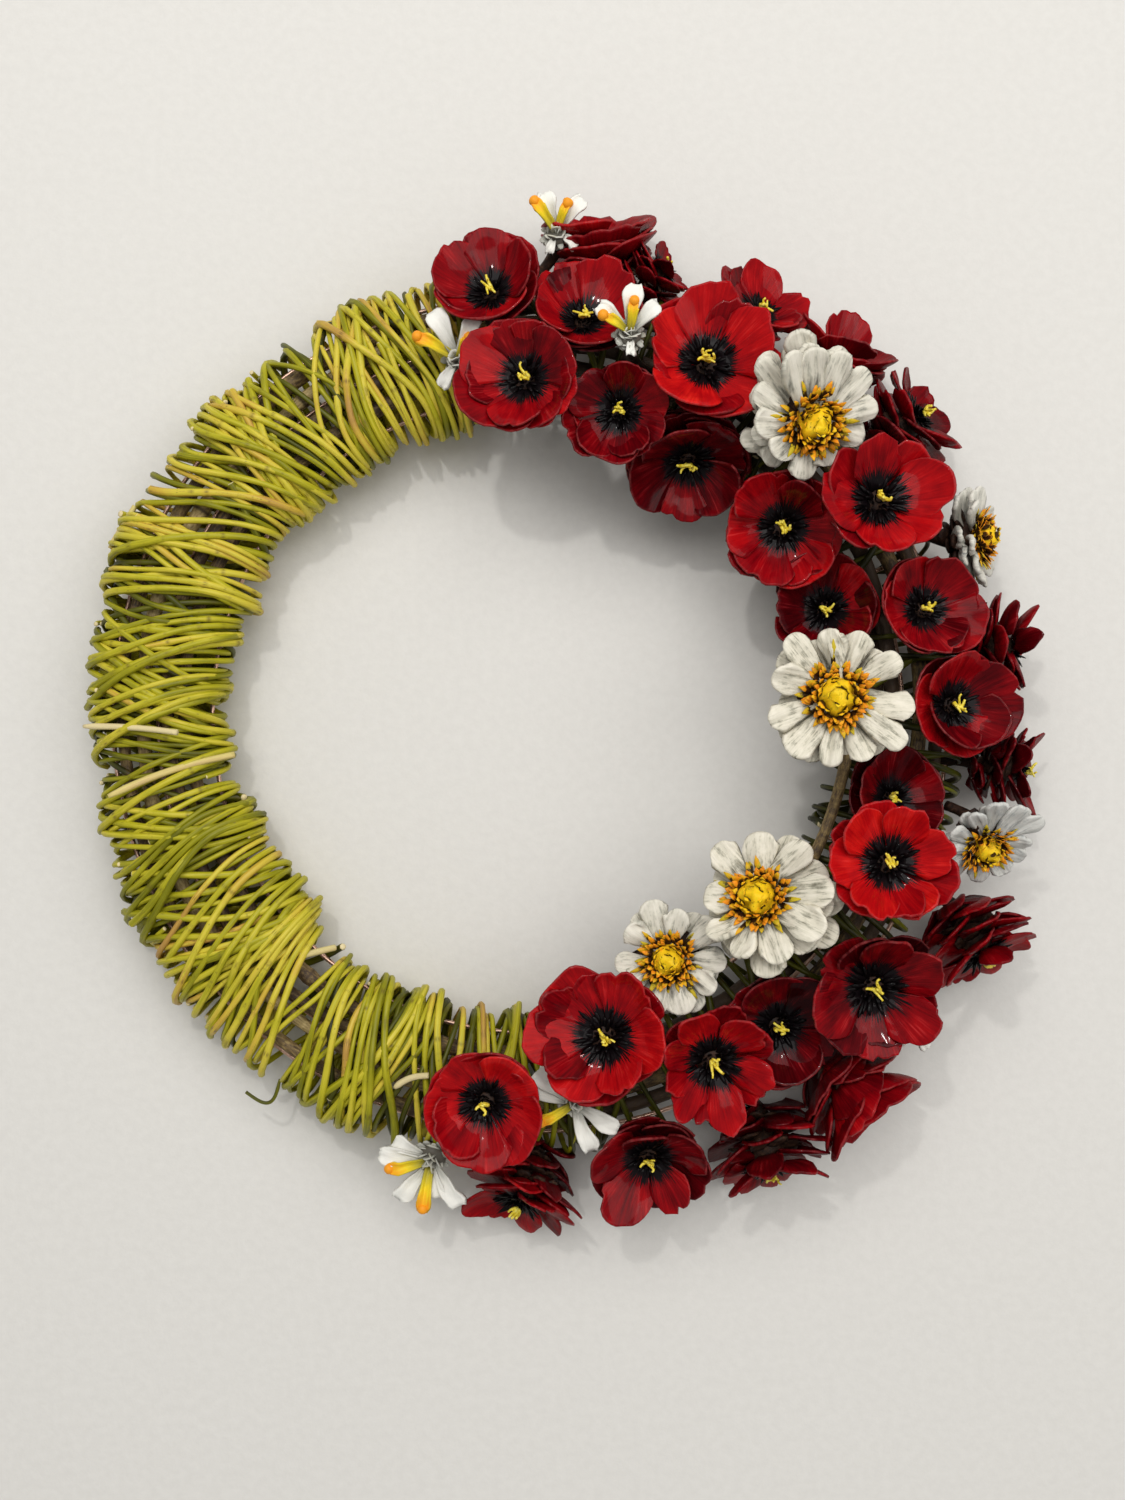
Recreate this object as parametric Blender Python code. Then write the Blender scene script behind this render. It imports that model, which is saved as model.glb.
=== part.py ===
"""Willow wreath with painted cone flowers, lying on its back. Metres, +Z up towards the viewer.

The ring is a wire frame with running rods tied on it, wound round by green willow.
The flowers are set on the wound ring one after another, lowest first.
"""
import math

import bmesh
import bpy
import numpy as np
from mathutils import Matrix, Vector
from mathutils.bvhtree import BVHTree

MM = 0.001
TAU = 2 * math.pi

# Driving dimensions of the ring
RING_RADIUS = 175 * MM
SECTION_WIDTH = 68 * MM
SECTION_DEPTH = 46 * MM
CHAMFER_ACROSS = 17 * MM
CHAMFER_UP = 12 * MM
WITHY = 4.2 * MM
CORE_ROD = 9 * MM
WIRE = 2.2 * MM
GAP = 0.3 * MM

# Counts and angles of the winding and the frame
INNER_RODS = 7
INNER_TURNS = 4
OUTER_RODS = 5
OUTER_TURNS = 4
OUTER_FROM = 103
OUTER_TO = 267
CORE_PLACES = (-0.74, -0.25, 0.25, 0.74)
CORE_STEPS = 24
FRAME_STEPS = 24
FRAME_TIES = 8
FRAME_LEVEL = 0.40

# Driving dimensions of the flowers
STUB_RADIUS = 3.5 * MM
STUB_SIDES = 5
STUB_TAPER = 0.7
STUB_TRIES = 5
NECK = 3 * MM
SLIDE_STEP = 1 * MM

# Each flower: place round the ring (degrees), distance out from the ring's middle line,
# height of its rim, rim radius (all mm), compass direction it leans to, lean, turn about
# its own axis (degrees), petals, rows of petals.
POPPIES = {
    "poppy_01": (95.9, 22, 62, 25, 110, 20, 10, 5, 1),
    "poppy_02": (80.0, 60, 34, 24, 60, 72, 0, 5, 2),
    "poppy_03": (81.9, 12, 64, 25, 85, 25, 54, 5, 1),
    "poppy_04": (91.6, -28, 70, 27, 170, 8, 30, 6, 1),
    "poppy_05": (73.4, -35, 58, 24, -100, 10, 20, 6, 1),
    "poppy_06": (72.1, 40, 40, 18, 20, 68, 0, 5, 2),
    "poppy_07": (63.1, 4, 80, 31, 75, 14, 18, 5, 1),
    "poppy_08": (56.0, -46, 54, 27, -95, 42, 40, 5, 2),
    "poppy_09": (60.5, 45, 50, 21, 50, 40, 0, 5, 1),
    "poppy_10": (48.9, 55, 34, 22, 50, 75, 0, 5, 2),
    "poppy_11": (36.5, 54, 48, 26, 20, 58, 15, 5, 2),
    "poppy_12": (31.2, 6, 82, 28, 60, 10, 60, 5, 1),
    "poppy_13": (35.5, -37, 70, 27, -120, 10, 0, 6, 1),
    "poppy_14": (19.5, -34, 60, 24, 180, 10, 20, 5, 1),
    "poppy_15": (14.5, 11, 68, 24, 30, 10, 45, 5, 1),
    "poppy_16": (7.6, 57, 40, 23, 0, 76, 0, 5, 2),
    "poppy_17": (0.9, 22, 66, 26, 0, 18, 10, 5, 1),
    "poppy_18": (-6.6, 61, 34, 22, -10, 72, 0, 5, 2),
    "poppy_19": (-12.5, -4, 56, 23, 60, 14, 20, 5, 1),
    "poppy_20": (-22.7, -5, 82, 29, 100, 8, 30, 6, 1),
    "poppy_21": (-29.0, 67, 44, 25, -65, 62, 0, 5, 2),
    "poppy_22": (-38.8, 26, 70, 29, -60, 8, 0, 5, 1),
    "poppy_23": (-51.6, 10, 58, 25, -60, 8, 30, 5, 1),
    "poppy_24": (-62.4, 2, 78, 28, -90, 6, 0, 6, 1),
    "poppy_25": (-78.2, -29, 78, 31, 150, 10, 0, 6, 1),
    "poppy_26": (-96.7, 3, 76, 27, -120, 8, 40, 5, 1),
    "poppy_27": (-75.4, 42, 54, 28, -90, 22, 20, 5, 1),
    "poppy_28": (-89.7, 60, 34, 26, -80, 66, 0, 5, 2),
    "poppy_29": (-62.6, 71, 36, 27, -80, 66, 0, 5, 2),
    "poppy_30": (-49.6, 71, 38, 24, -45, 70, 0, 5, 2),
}
WHITES = {
    "white_01": (48.0, 5, 80, 31, -70, 20, 0, 11, 2),
    "white_02": (21.5, 47, 50, 27, 5, 52, 0, 11, 2),
    "white_03": (2.5, -41, 88, 33, 180, 5, 0, 12, 2),
    "white_04": (-38.5, -41, 80, 33, 140, 20, 10, 12, 2),
    "white_05": (-16.1, 40, 58, 24, -80, 32, 0, 11, 2),
    "white_06": (-60.7, -47, 58, 28, 170, 10, 0, 10, 1),
}
SMALLS = {
    "small_01": (102.0, -10, 60, 21, 150, 15, 20, 6, 1),
    "small_02": (86.9, 47, 56, 19, 100, 20, 0, 6, 1),
    "small_03": (74.9, -5, 80, 18, 90, 20, 0, 6, 1),
    "small_04": (-83.1, 6, 56, 21, -60, 15, 0, 6, 1),
    "small_05": (-102.6, 40, 40, 23, -110, 45, 0, 6, 1),
    "small_06": (-39.2, 60, 36, 12, -40, 60, 0, 6, 1),
}

# Finishes: colour, roughness, metallic
FINISHES = {
    "wire": ((0.72, 0.40, 0.27), 0.32, 1.0),
    "core": ((0.23, 0.12, 0.06), 0.75, 0.0),
    "inner": ((0.20, 0.24, 0.03), 0.55, 0.0),
    "outer": ((0.34, 0.38, 0.05), 0.50, 0.0),
    "poppy": ((0.42, 0.01, 0.015), 0.28, 0.0),
    "white": ((0.72, 0.74, 0.74), 0.50, 0.0),
    "small": ((0.68, 0.62, 0.45), 0.50, 0.0),
}

# Petal rows as points to a petal, then radius at tip and notch and height at tip and notch,
# all against the rim radius
POPPY_FACE = ((1, 0.30, 0.30, -0.30, -0.30), (1, 0.72, 0.72, -0.22, -0.22),
              (3, 1.00, 0.82, 0.00, -0.04))
POPPY_BACK = ((1, 0.60, 0.60, -0.40, -0.40),)
POPPY_UNDER = ((3, 0.86, 0.66, -0.42, -0.46), (1, 0.46, 0.46, -0.66, -0.66))
POPPY_TUFT = -0.06
WHITE_FACE = ((1, 0.34, 0.34, 0.12, 0.12), (1, 0.42, 0.42, -0.10, -0.10),
              (3, 1.00, 0.76, 0.02, -0.06))
WHITE_BACK = ((1, 0.52, 0.52, -0.20, -0.20),)
WHITE_UNDER = ((3, 0.84, 0.62, -0.26, -0.30), (1, 0.40, 0.40, -0.44, -0.44))
WHITE_TUFT = 0.26
SMALL_FACE = ((1, 0.22, 0.20, -0.10, -0.10), (3, 0.95, 0.36, 0.10, -0.22))
SMALL_BACK = ((1, 0.30, 0.30, -0.44, -0.44),)
SMALL_TUFT = 0.06
SHOULDER = 0.24


def clear_scene():
    """Start from an empty scene."""
    for obj in list(bpy.data.objects):
        bpy.data.objects.remove(obj, do_unlink=True)


def finish(obj, kind):
    """Give the object its own material in one of the finishes."""
    colour, roughness, metallic = FINISHES[kind]
    mat = bpy.data.materials.new(obj.name)
    mat.use_nodes = True
    shader = mat.node_tree.nodes["Principled BSDF"]
    shader.inputs["Base Color"].default_value = (*colour, 1)
    shader.inputs["Roughness"].default_value = roughness
    shader.inputs["Metallic"].default_value = metallic
    obj.data.materials.append(mat)


def make_object(name, points, faces, kind):
    """One closed body from points and faces, shaded smooth, normals facing out."""
    mesh = bpy.data.meshes.new(name)
    mesh.from_pydata([tuple(p) for p in points], [], faces)
    bm = bmesh.new()
    bm.from_mesh(mesh)
    bmesh.ops.recalc_face_normals(bm, faces=bm.faces)
    bm.to_mesh(mesh)
    bm.free()
    for face in mesh.polygons:
        face.use_smooth = True
    obj = bpy.data.objects.new(name, mesh)
    bpy.context.scene.collection.objects.link(obj)
    finish(obj, kind)
    return obj


def on_ring(angle, out, height):
    """A point by its angle round the ring, distance out from the middle line and height."""
    reach = RING_RADIUS + out
    return np.array((reach * math.cos(angle), reach * math.sin(angle), height))


# Section of the wound ring: an eight-sided outline, moved inwards by any distance
def section_lines(inset):
    """The outline's eight straight sides as (normal, distance from the section's middle)."""
    half_w = SECTION_WIDTH / 2
    half_h = SECTION_DEPTH / 2
    slope = Vector((CHAMFER_UP, CHAMFER_ACROSS)).normalized()
    corner = slope.dot(Vector((half_w, half_h - CHAMFER_UP)))
    lines = []
    for x_sign, z_sign in ((1, 1), (-1, 1), (-1, -1), (1, -1)):
        slanted = (Vector((slope.x * x_sign, slope.y * z_sign)), corner - inset)
        flat = (Vector((0, z_sign)), half_h - inset)
        side = (Vector((x_sign, 0)), half_w - inset)
        lines += [side, slanted, flat] if x_sign * z_sign > 0 else [flat, slanted, side]
    return [line for k, line in enumerate(lines) if line[0] != lines[k - 1][0]]


def section_corners(inset):
    """Where neighbouring sides meet, and the mitre direction there."""
    lines = section_lines(inset)
    corners = []
    for k, (normal, reach) in enumerate(lines):
        next_normal, next_reach = lines[(k + 1) % len(lines)]
        system = np.array((tuple(normal), tuple(next_normal)))
        point = np.linalg.solve(system, (reach, next_reach))
        mitre = np.linalg.solve(system, (1, 1))
        corners.append((point, mitre))
    return corners


def cap_faces(rings, sides):
    """Faces of a tube whose points come ring after ring, with both ends closed."""
    faces = []
    for k in range(rings - 1):
        for j in range(sides):
            a = k * sides + j
            b = k * sides + (j + 1) % sides
            faces.append((a, b, b + sides, a + sides))
    faces.append(tuple(range(sides))[::-1])
    faces.append(tuple(range((rings - 1) * sides, rings * sides)))
    return faces


def loop_faces(rings, sides):
    """Faces of a tube that closes on itself."""
    faces = []
    for k in range(rings):
        for j in range(sides):
            a = k * sides + j
            b = k * sides + (j + 1) % sides
            c = (k + 1) % rings * sides
            faces.append((a, b, c + (j + 1) % sides, c + j))
    return faces


def wound_rod(start, span, turns, inset, first):
    """A willow rod wound round the section while it moves along the ring."""
    corners = section_corners(inset)
    count = len(corners)
    places = [first + k for k in range(turns * count + 1)]
    lengths = [0.0]
    for k in places[1:]:
        step = corners[k % count][0] - corners[(k - 1) % count][0]
        lengths.append(lengths[-1] + float(np.linalg.norm(step)))
    half = WITHY / 2
    points = []
    for k, length in zip(places, lengths):
        angle = start + span * length / lengths[-1]
        along = np.array((-math.sin(angle), math.cos(angle), 0))
        middle, mitre = corners[k % count]
        for side, level in ((-1, -1), (1, -1), (1, 1), (-1, 1)):
            out, up = middle + mitre * half * level
            points.append(on_ring(angle, out, SECTION_DEPTH / 2 + up) + along * half * side)
    return points, cap_faces(len(places), 4)


def running_rod(out, height, radius, steps, sides):
    """A rod running once round the ring, its corners set so that it is never tighter."""
    points = []
    for k in range(steps):
        angle = TAU * k / steps
        for j in range(sides):
            turn = TAU * (j + 0.5) / sides
            across = out + radius * math.cos(turn)
            points.append(on_ring(angle, across, height + radius * math.sin(turn)))
    return points, loop_faces(steps, sides)


def sag(reach, steps):
    """How far the middle of a straight step lies inside a circle."""
    return reach * (1 - math.cos(math.pi / steps))


def core_inset():
    """How far inside the outline the running rods and the frame have to stay."""
    return 2 * WITHY + 2 * GAP


def seat_height(out, radius, inset):
    """Height at which a rod at this distance out just touches the inset outline above it."""
    room = [(reach - radius - normal.x * out) / normal.y
            for normal, reach in section_lines(inset) if normal.y > 0]
    return SECTION_DEPTH / 2 + min(room)


def frame_places():
    """Distance out and height of the frame's three rings: inner, middle, outer."""
    half = WIRE / 2
    room = SECTION_WIDTH / 2 - core_inset() - half
    inner = -room + sag(RING_RADIUS, FRAME_STEPS)
    level = SECTION_DEPTH * FRAME_LEVEL
    core_low = seat_height(0, CORE_ROD / 2, core_inset()) - CORE_ROD / 2
    return (inner, level), (0, core_low - half - GAP), (room, level)


def straight_wire(a, b, radius, sides):
    """A straight piece of wire from a to b."""
    axis = Vector(b - a).normalized()
    side = axis.cross(Vector((0, 0, 1))).normalized()
    other = axis.cross(side)
    points = []
    for end in (a, b):
        for j in range(sides):
            turn = TAU * (j + 0.5) / sides
            points.append(end + radius * np.array(side * math.cos(turn) + other * math.sin(turn)))
    return points, cap_faces(2, sides)


def join_bodies(obj, others):
    """Make one body of an object and others that run into it."""
    bpy.context.view_layer.objects.active = obj
    for other in others:
        mod = obj.modifiers.new(other.name, "BOOLEAN")
        mod.operation = "UNION"
        mod.solver = "EXACT"
        mod.object = other
        bpy.ops.object.modifier_apply(modifier=mod.name)
        bpy.data.objects.remove(other, do_unlink=True)


def build_frame():
    """Three wire rings tied across by straight wires."""
    places = frame_places()
    half = WIRE / 2
    rings = []
    for k, (out, height) in enumerate(places):
        points, faces = running_rod(out, height, half, FRAME_STEPS, 4)
        rings.append(make_object(f"ring_{k}", points, faces, "wire"))
    ties = []
    for k in range(FRAME_TIES):
        angle = TAU * (k + 0.5) * (FRAME_STEPS // FRAME_TIES) / FRAME_STEPS
        stops = [on_ring(angle, out, height) for out, height in places]
        for j, (a, b) in enumerate(zip(stops, stops[1:])):
            shrink = sag(RING_RADIUS, FRAME_STEPS)
            inward = np.array((-math.cos(angle), -math.sin(angle), 0)) * shrink
            points, faces = straight_wire(a + inward, b + inward, half * 0.9, 4)
            ties.append(make_object(f"tie_{k}_{j}", points, faces, "wire"))
    frame = rings[0]
    join_bodies(frame, rings[1:] + ties)
    frame.name = "wire_frame"
    frame.data.name = "wire_frame"
    return frame


def build_core():
    """Running rods side by side on top of the frame."""
    rods = []
    radius = CORE_ROD / 2
    room = SECTION_WIDTH / 2 - core_inset() - radius
    for k, place in enumerate(CORE_PLACES):
        out = place * room
        widest = out + sag(RING_RADIUS, CORE_STEPS)
        height = min(seat_height(out, radius, core_inset()),
                     seat_height(widest, radius, core_inset()))
        points, faces = running_rod(widest, height, radius, CORE_STEPS, 5)
        rods.append(make_object(f"core_rod_{k + 1}", points, faces, "core"))
    return rods


def build_winding():
    """Green willow in two layers that lean opposite ways."""
    rods = []
    half = WITHY / 2
    margin = (WITHY + 2 * GAP) / (RING_RADIUS - SECTION_WIDTH / 2)
    share = TAU / INNER_RODS
    for k in range(INNER_RODS):
        points, faces = wound_rod(share * k, share - margin, INNER_TURNS, 3 * half + GAP, 5)
        rods.append(make_object(f"inner_withy_{k + 1}", points, faces, "inner"))
    share = math.radians(OUTER_TO - OUTER_FROM) / OUTER_RODS
    for k in range(OUTER_RODS):
        end = math.radians(OUTER_FROM) + share * (k + 1)
        points, faces = wound_rod(end, margin - share, OUTER_TURNS, half, 5)
        rods.append(make_object(f"outer_withy_{k + 1}", points, faces, "outer"))
    return rods


# Flowers: rings of points round the flower's own axis
def petal_ring(petals, row, radius):
    """Points of one row of petals: one each, or a notch and two shoulders each."""
    each, tip, notch, tip_up, notch_up = row
    points = []
    for k in range(petals):
        shares = ((0, tip, tip_up),) if each == 1 else (
            (-SHOULDER, tip, tip_up), (SHOULDER, tip, tip_up), (0.5, notch, notch_up))
        for share, reach, up in shares:
            turn = TAU * (k + share) / petals
            points.append((radius * reach * math.cos(turn), radius * reach * math.sin(turn),
                           radius * up))
    return points


def plain_ring(sides, radius, height):
    """Points of a round ring."""
    return [(radius * math.cos(TAU * k / sides), radius * math.sin(TAU * k / sides), height)
            for k in range(sides)]


def bridge(first, first_count, second, second_count):
    """Triangles between two rings whose point counts differ."""
    faces = []
    i = j = 0
    while i < first_count or j < second_count:
        a = first + i % first_count
        b = second + j % second_count
        if j == second_count or (i < first_count and (i + 1) / first_count <= (j + 1) / second_count):
            faces.append((a, first + (i + 1) % first_count, b))
            i += 1
        else:
            faces.append((a, second + (j + 1) % second_count, b))
            j += 1
    return faces


def flower_body(radius, petals, face, back, tuft, target):
    """A flower on its axis: tuft, petals from the front, petals from behind, then the stub
    that bends towards the target point."""
    rings = [petal_ring(petals, row, radius) for row in face + back]
    neck = Vector((0, 0, neck_height(radius, face + back)))
    rings.append(plain_ring(STUB_SIDES, STUB_RADIUS, neck.z))
    way = target - neck
    bend = Vector((0, 0, -1)).rotation_difference(way)
    stop = neck + way * max(0.0, 1 - GAP / way.length)
    rings.append([tuple(bend @ Vector((x, y, 0)) + stop)
                  for x, y, _ in plain_ring(STUB_SIDES, STUB_RADIUS * STUB_TAPER, 0)])
    points = [(0, 0, radius * tuft)]
    firsts = []
    for ring in rings:
        firsts.append(len(points))
        points += ring
    count = len(rings[0])
    faces = [(0, 1 + k, 1 + (k + 1) % count) for k in range(count)]
    for k in range(len(rings) - 1):
        faces += bridge(firsts[k], len(rings[k]), firsts[k + 1], len(rings[k + 1]))
    faces.append(tuple(firsts[-1] + k for k in range(STUB_SIDES)))
    return points, faces


def neck_height(radius, rows):
    """Where the stub starts, a little behind the lowest row of petals."""
    lowest = min(min(row[3:]) for row in rows)
    return radius * lowest - NECK


def flower_axis(lean_to, lean):
    """Unit vector a flower faces along."""
    flat = math.sin(math.radians(lean))
    to = math.radians(lean_to)
    return Vector((flat * math.cos(to), flat * math.sin(to), math.cos(math.radians(lean))))


def turned(lean_to, lean, spin):
    """Rotation of a flower from upright: spin about its axis, then the lean."""
    tip = Matrix.Rotation(math.radians(lean), 3, Vector((-math.sin(math.radians(lean_to)),
                                                         math.cos(math.radians(lean_to)), 0)))
    return tip @ Matrix.Rotation(math.radians(spin), 3, "Z")


def fatter(points, faces, by):
    """The same points moved out along their normals."""
    mesh = bpy.data.meshes.new("fatter")
    mesh.from_pydata([tuple(p) for p in points], [], faces)
    bm = bmesh.new()
    bm.from_mesh(mesh)
    bmesh.ops.recalc_face_normals(bm, faces=bm.faces)
    bm.normal_update()
    moved = [v.co + v.normal * by for v in bm.verts]
    bm.free()
    bpy.data.meshes.remove(mesh)
    return moved


def surface_of(objects):
    """One search tree over the surfaces of several objects."""
    points = []
    faces = []
    for obj in objects:
        first = len(points)
        points += [obj.matrix_world @ v.co for v in obj.data.vertices]
        faces += [tuple(first + i for i in face.vertices) for face in obj.data.polygons]
    return BVHTree.FromPolygons(points, faces)


def placed(points, faces, turn, spot):
    """Search tree of a flower's surface in its place."""
    return BVHTree.FromPolygons([turn @ Vector(p) + spot for p in points], faces)


def stub_targets(base, neck, axis):
    """Points of the base a stub may run to, the nearest first, then those further back."""
    return [base.find_nearest(neck - axis * step * STUB_RADIUS)[0] for step in range(STUB_TRIES)]


def seat_flower(base, neighbours, place, axis, turn, size, petals, shapes):
    """Slide a flower out along its axis until it clears everything already there."""
    face, back, tuft = shapes
    slide = 0.0
    while slide < RING_RADIUS:
        spot = place + axis * slide
        neck = spot + axis * neck_height(size, face + back)
        for touch in stub_targets(base, neck, axis):
            target = turn.transposed() @ (touch - spot)
            points, faces = flower_body(size, petals, face, back, tuft, target)
            tree = placed(fatter(points, faces, GAP), faces, turn, spot)
            real = placed(points, faces, turn, spot)
            if not (real.overlap(base) or any(tree.overlap(other) for other in neighbours)):
                return spot, points, faces, real, slide
        slide += SLIDE_STEP
    return spot, points, faces, real, slide


def build_flowers(base):
    """Set all flowers, the lowest first."""
    kinds = (
        ("poppy", POPPIES, POPPY_FACE, POPPY_BACK, POPPY_UNDER, POPPY_TUFT),
        ("white", WHITES, WHITE_FACE, WHITE_BACK, WHITE_UNDER, WHITE_TUFT),
        ("small", SMALLS, SMALL_FACE, SMALL_BACK, (), SMALL_TUFT),
    )
    rows = [(row[2], name, row, kind) for kind in kinds for name, row in kind[1].items()]
    trees = []
    for _, name, row, kind in sorted(rows, key=lambda r: r[:2]):
        angle, out, height, size, lean_to, lean, spin, petals, layers = row
        shapes = (kind[2], kind[3] + (kind[4] if layers > 1 else ()), kind[5])
        place = Vector(on_ring(math.radians(angle), out * MM, height * MM))
        axis = flower_axis(lean_to, lean)
        turn = turned(lean_to, lean, spin)
        spot, points, faces, tree, slide = seat_flower(
            base, trees, place, axis, turn, size * MM, petals, shapes)
        trees.append(tree)
        obj = make_object(name, points, faces, kind[0])
        obj.matrix_world = Matrix.Translation(spot) @ turn.to_4x4()
        print(f"{name}: slid {slide / MM:.0f} mm")


def centre_all():
    """Move everything so that the whole stands with its box's bottom middle at the origin."""
    bpy.context.view_layer.update()
    corners = [obj.matrix_world @ v.co for obj in bpy.data.objects for v in obj.data.vertices]
    low = Vector(min(c[k] for c in corners) for k in range(3))
    high = Vector(max(c[k] for c in corners) for k in range(3))
    shift = Vector(((low.x + high.x) / 2, (low.y + high.y) / 2, low.z))
    for obj in bpy.data.objects:
        obj.location -= shift
    print("shift in mm", [round(v / MM, 2) for v in shift])
    print("size in mm", [round(v / MM, 1) for v in high - low])


clear_scene()
frame = build_frame()
base_parts = [frame] + build_core() + build_winding()
build_flowers(surface_of(base_parts))
centre_all()
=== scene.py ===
# %% [markdown]
# # A willow wreath with painted cone flowers
#
# The wreath is a wire ring with brown running sticks on it, wound with green willow rods.
# One half shows the winding, and the other half is covered with cut cones, which are
# painted as red poppies, white daisies and small strap flowers. The solids of the part
# are loaded first, because every piece made here stands for one of them and takes its
# place from it.

# %% Load the part and keep its size
import math

import bpy
import numpy as np
from mathutils import Matrix, Vector


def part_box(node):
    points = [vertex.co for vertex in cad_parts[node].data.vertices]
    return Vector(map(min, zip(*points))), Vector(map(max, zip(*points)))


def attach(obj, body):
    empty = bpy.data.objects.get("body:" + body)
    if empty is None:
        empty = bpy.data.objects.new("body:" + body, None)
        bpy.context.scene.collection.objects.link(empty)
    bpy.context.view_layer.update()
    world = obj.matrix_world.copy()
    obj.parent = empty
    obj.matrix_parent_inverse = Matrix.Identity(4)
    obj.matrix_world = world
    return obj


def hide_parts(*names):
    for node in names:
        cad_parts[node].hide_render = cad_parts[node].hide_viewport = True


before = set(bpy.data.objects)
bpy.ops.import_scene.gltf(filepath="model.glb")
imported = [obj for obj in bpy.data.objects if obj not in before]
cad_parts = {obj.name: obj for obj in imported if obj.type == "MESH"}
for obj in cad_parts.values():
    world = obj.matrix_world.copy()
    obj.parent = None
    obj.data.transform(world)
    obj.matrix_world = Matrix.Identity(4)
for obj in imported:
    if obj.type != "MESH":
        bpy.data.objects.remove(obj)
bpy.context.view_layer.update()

MM = 0.001
TAU = 2 * math.pi
wire_low, wire_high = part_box("wire_frame")
middle = (wire_low + wire_high) / 2 / MM
CENTRE = np.array((middle.x, middle.y, 0))
RING = 175
print("ring middle in mm", CENTRE.round(2), "nodes", len(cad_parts))

# %% [markdown]
# ## How the pieces are made
#
# Willow rods, wires and stalks are tubes along a path. Petals and cone scales are thin
# sheets with a front, a back and an edge. Both are grids of points, so one small class
# can gather them. Beside each point it keeps a few values: its tone, which is how light
# the colour is and also carries painted shade, how near the point is to an edge, a mark,
# and a place on the petal or rod in mm. The finishes read these values, so brush strokes
# run along a petal, and bark runs along a rod, whichever way it turns.

# %% A shape that gathers closed bodies
VALUES = {"tone": 1, "edge": 1, "mark": 1, "place": 3}


def grid_faces(rows, columns):
    """Four-cornered faces between rings of points, each ring closed."""
    first = np.arange(rows - 1)[:, None] * columns
    here = np.arange(columns)[None, :]
    after = (here + 1) % columns
    corners = (first + here, first + after, first + columns + after, first + columns + here)
    return np.stack(np.broadcast_arrays(*corners), -1).reshape(-1, 4)


class Shape:
    """Closed bodies in mm from the ring's middle, gathered for one piece."""

    def __init__(self):
        self.points = []
        self.faces = []
        self.finishes = []
        self.values = {name: [] for name in VALUES}
        self.count = 0

    def add(self, points, faces, finish=0, **values):
        """Put in one body. A value is a number for all its points, or one for each."""
        for face in faces:
            self.faces += (face + self.count).tolist()
            self.finishes += [finish] * len(face)
        self.points.append(points)
        for name, width in VALUES.items():
            value = np.asarray(values.get(name, 0), float)
            if width == 3:
                value = np.broadcast_to(value, (len(points), 3))
            self.values[name].append(np.broadcast_to(value, (len(points), 3)[:1 + (width > 1)]))
        self.count += len(points)

    def build(self, name, finishes, slot, *nodes):
        """Make the piece, and let it ride with the part in place of the nodes."""
        mesh = bpy.data.meshes.new(name)
        points = (np.concatenate(self.points) + CENTRE) * MM
        mesh.from_pydata(points.tolist(), [], self.faces)
        mesh.polygons.foreach_set("material_index", self.finishes)
        mesh.polygons.foreach_set("use_smooth", [True] * len(mesh.polygons))
        for value, width in VALUES.items():
            kind = "FLOAT_VECTOR" if width == 3 else "FLOAT"
            data = mesh.attributes.new(value, kind, "POINT").data
            numbers = np.concatenate(self.values[value]).astype(np.float32).ravel()
            data.foreach_set("vector" if width == 3 else "value", numbers)
        for finish in finishes:
            mesh.materials.append(finish.material)
        piece = bpy.data.objects.new(name, mesh)
        bpy.context.scene.collection.objects.link(piece)
        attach(piece, "root")
        if nodes:
            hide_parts(*nodes)
        return piece


# %% Tubes and sheets
def unit(vectors):
    """Vectors made one long."""
    return vectors / np.maximum(np.linalg.norm(vectors, axis=-1, keepdims=True), 1e-9)


def tube(path, radii, up, sides, closed=False):
    """Rings of points along a path, and the faces between them."""
    if closed:
        along = unit(np.roll(path, -1, 0) - np.roll(path, 1, 0))
    else:
        along = unit(np.gradient(path, axis=0))
    up = np.broadcast_to(np.asarray(up, float), path.shape)
    over = unit(up - along * (up * along).sum(-1, keepdims=True))
    aside = np.cross(along, over)
    turn = np.arange(sides) / sides * TAU
    ring = over[:, None] * np.cos(turn)[:, None] + aside[:, None] * np.sin(turn)[:, None]
    points = (path[:, None] + ring * np.asarray(radii)[:, None, None]).reshape(-1, 3)
    rows = len(path)
    if closed:
        faces = grid_faces(rows + 1, sides) % (rows * sides)
        return points, [faces]
    here = np.arange(sides)
    after = (here + 1) % sides
    start = np.stack((np.full(sides, len(points)), after, here), -1)
    last = (rows - 1) * sides
    end = np.stack((np.full(sides, len(points) + 1), last + here, last + after), -1)
    points = np.concatenate((points, path[:1], path[-1:]))
    return points, [grid_faces(rows, sides), start, end]


def per_ring(values, sides):
    """One value for each ring of a tube, given to all its points and its two ends."""
    values = np.asarray(values, float)
    return np.concatenate((np.repeat(values, sides, axis=0), values[:1], values[-1:]))


def sheet(front, thick):
    """A closed sheet from a grid of points on its front and the thickness at each."""
    along = np.gradient(front, axis=0)
    across = np.gradient(front, axis=1)
    normal = unit(np.cross(along, across))
    back = front - normal * np.asarray(thick)[..., None]
    ring = np.concatenate((front, back[:, ::-1]), axis=1)
    rows, columns = ring.shape[:2]
    here = np.arange(columns // 2 - 1)
    far = columns - 1 - here
    start = np.stack((here, here + 1, far - 1, far), -1)
    end = np.stack((here, far, far - 1, here + 1), -1) + (rows - 1) * columns
    return ring.reshape(-1, 3), [grid_faces(rows, columns)[:, ::-1], start, end]


def both_sides(front, back=None):
    """A value on the front of a sheet and on its back, in the order of its points."""
    back = front if back is None else back
    ring = np.concatenate((front, back[:, ::-1]), axis=1)
    return ring.reshape(-1, *ring.shape[2:])


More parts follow.
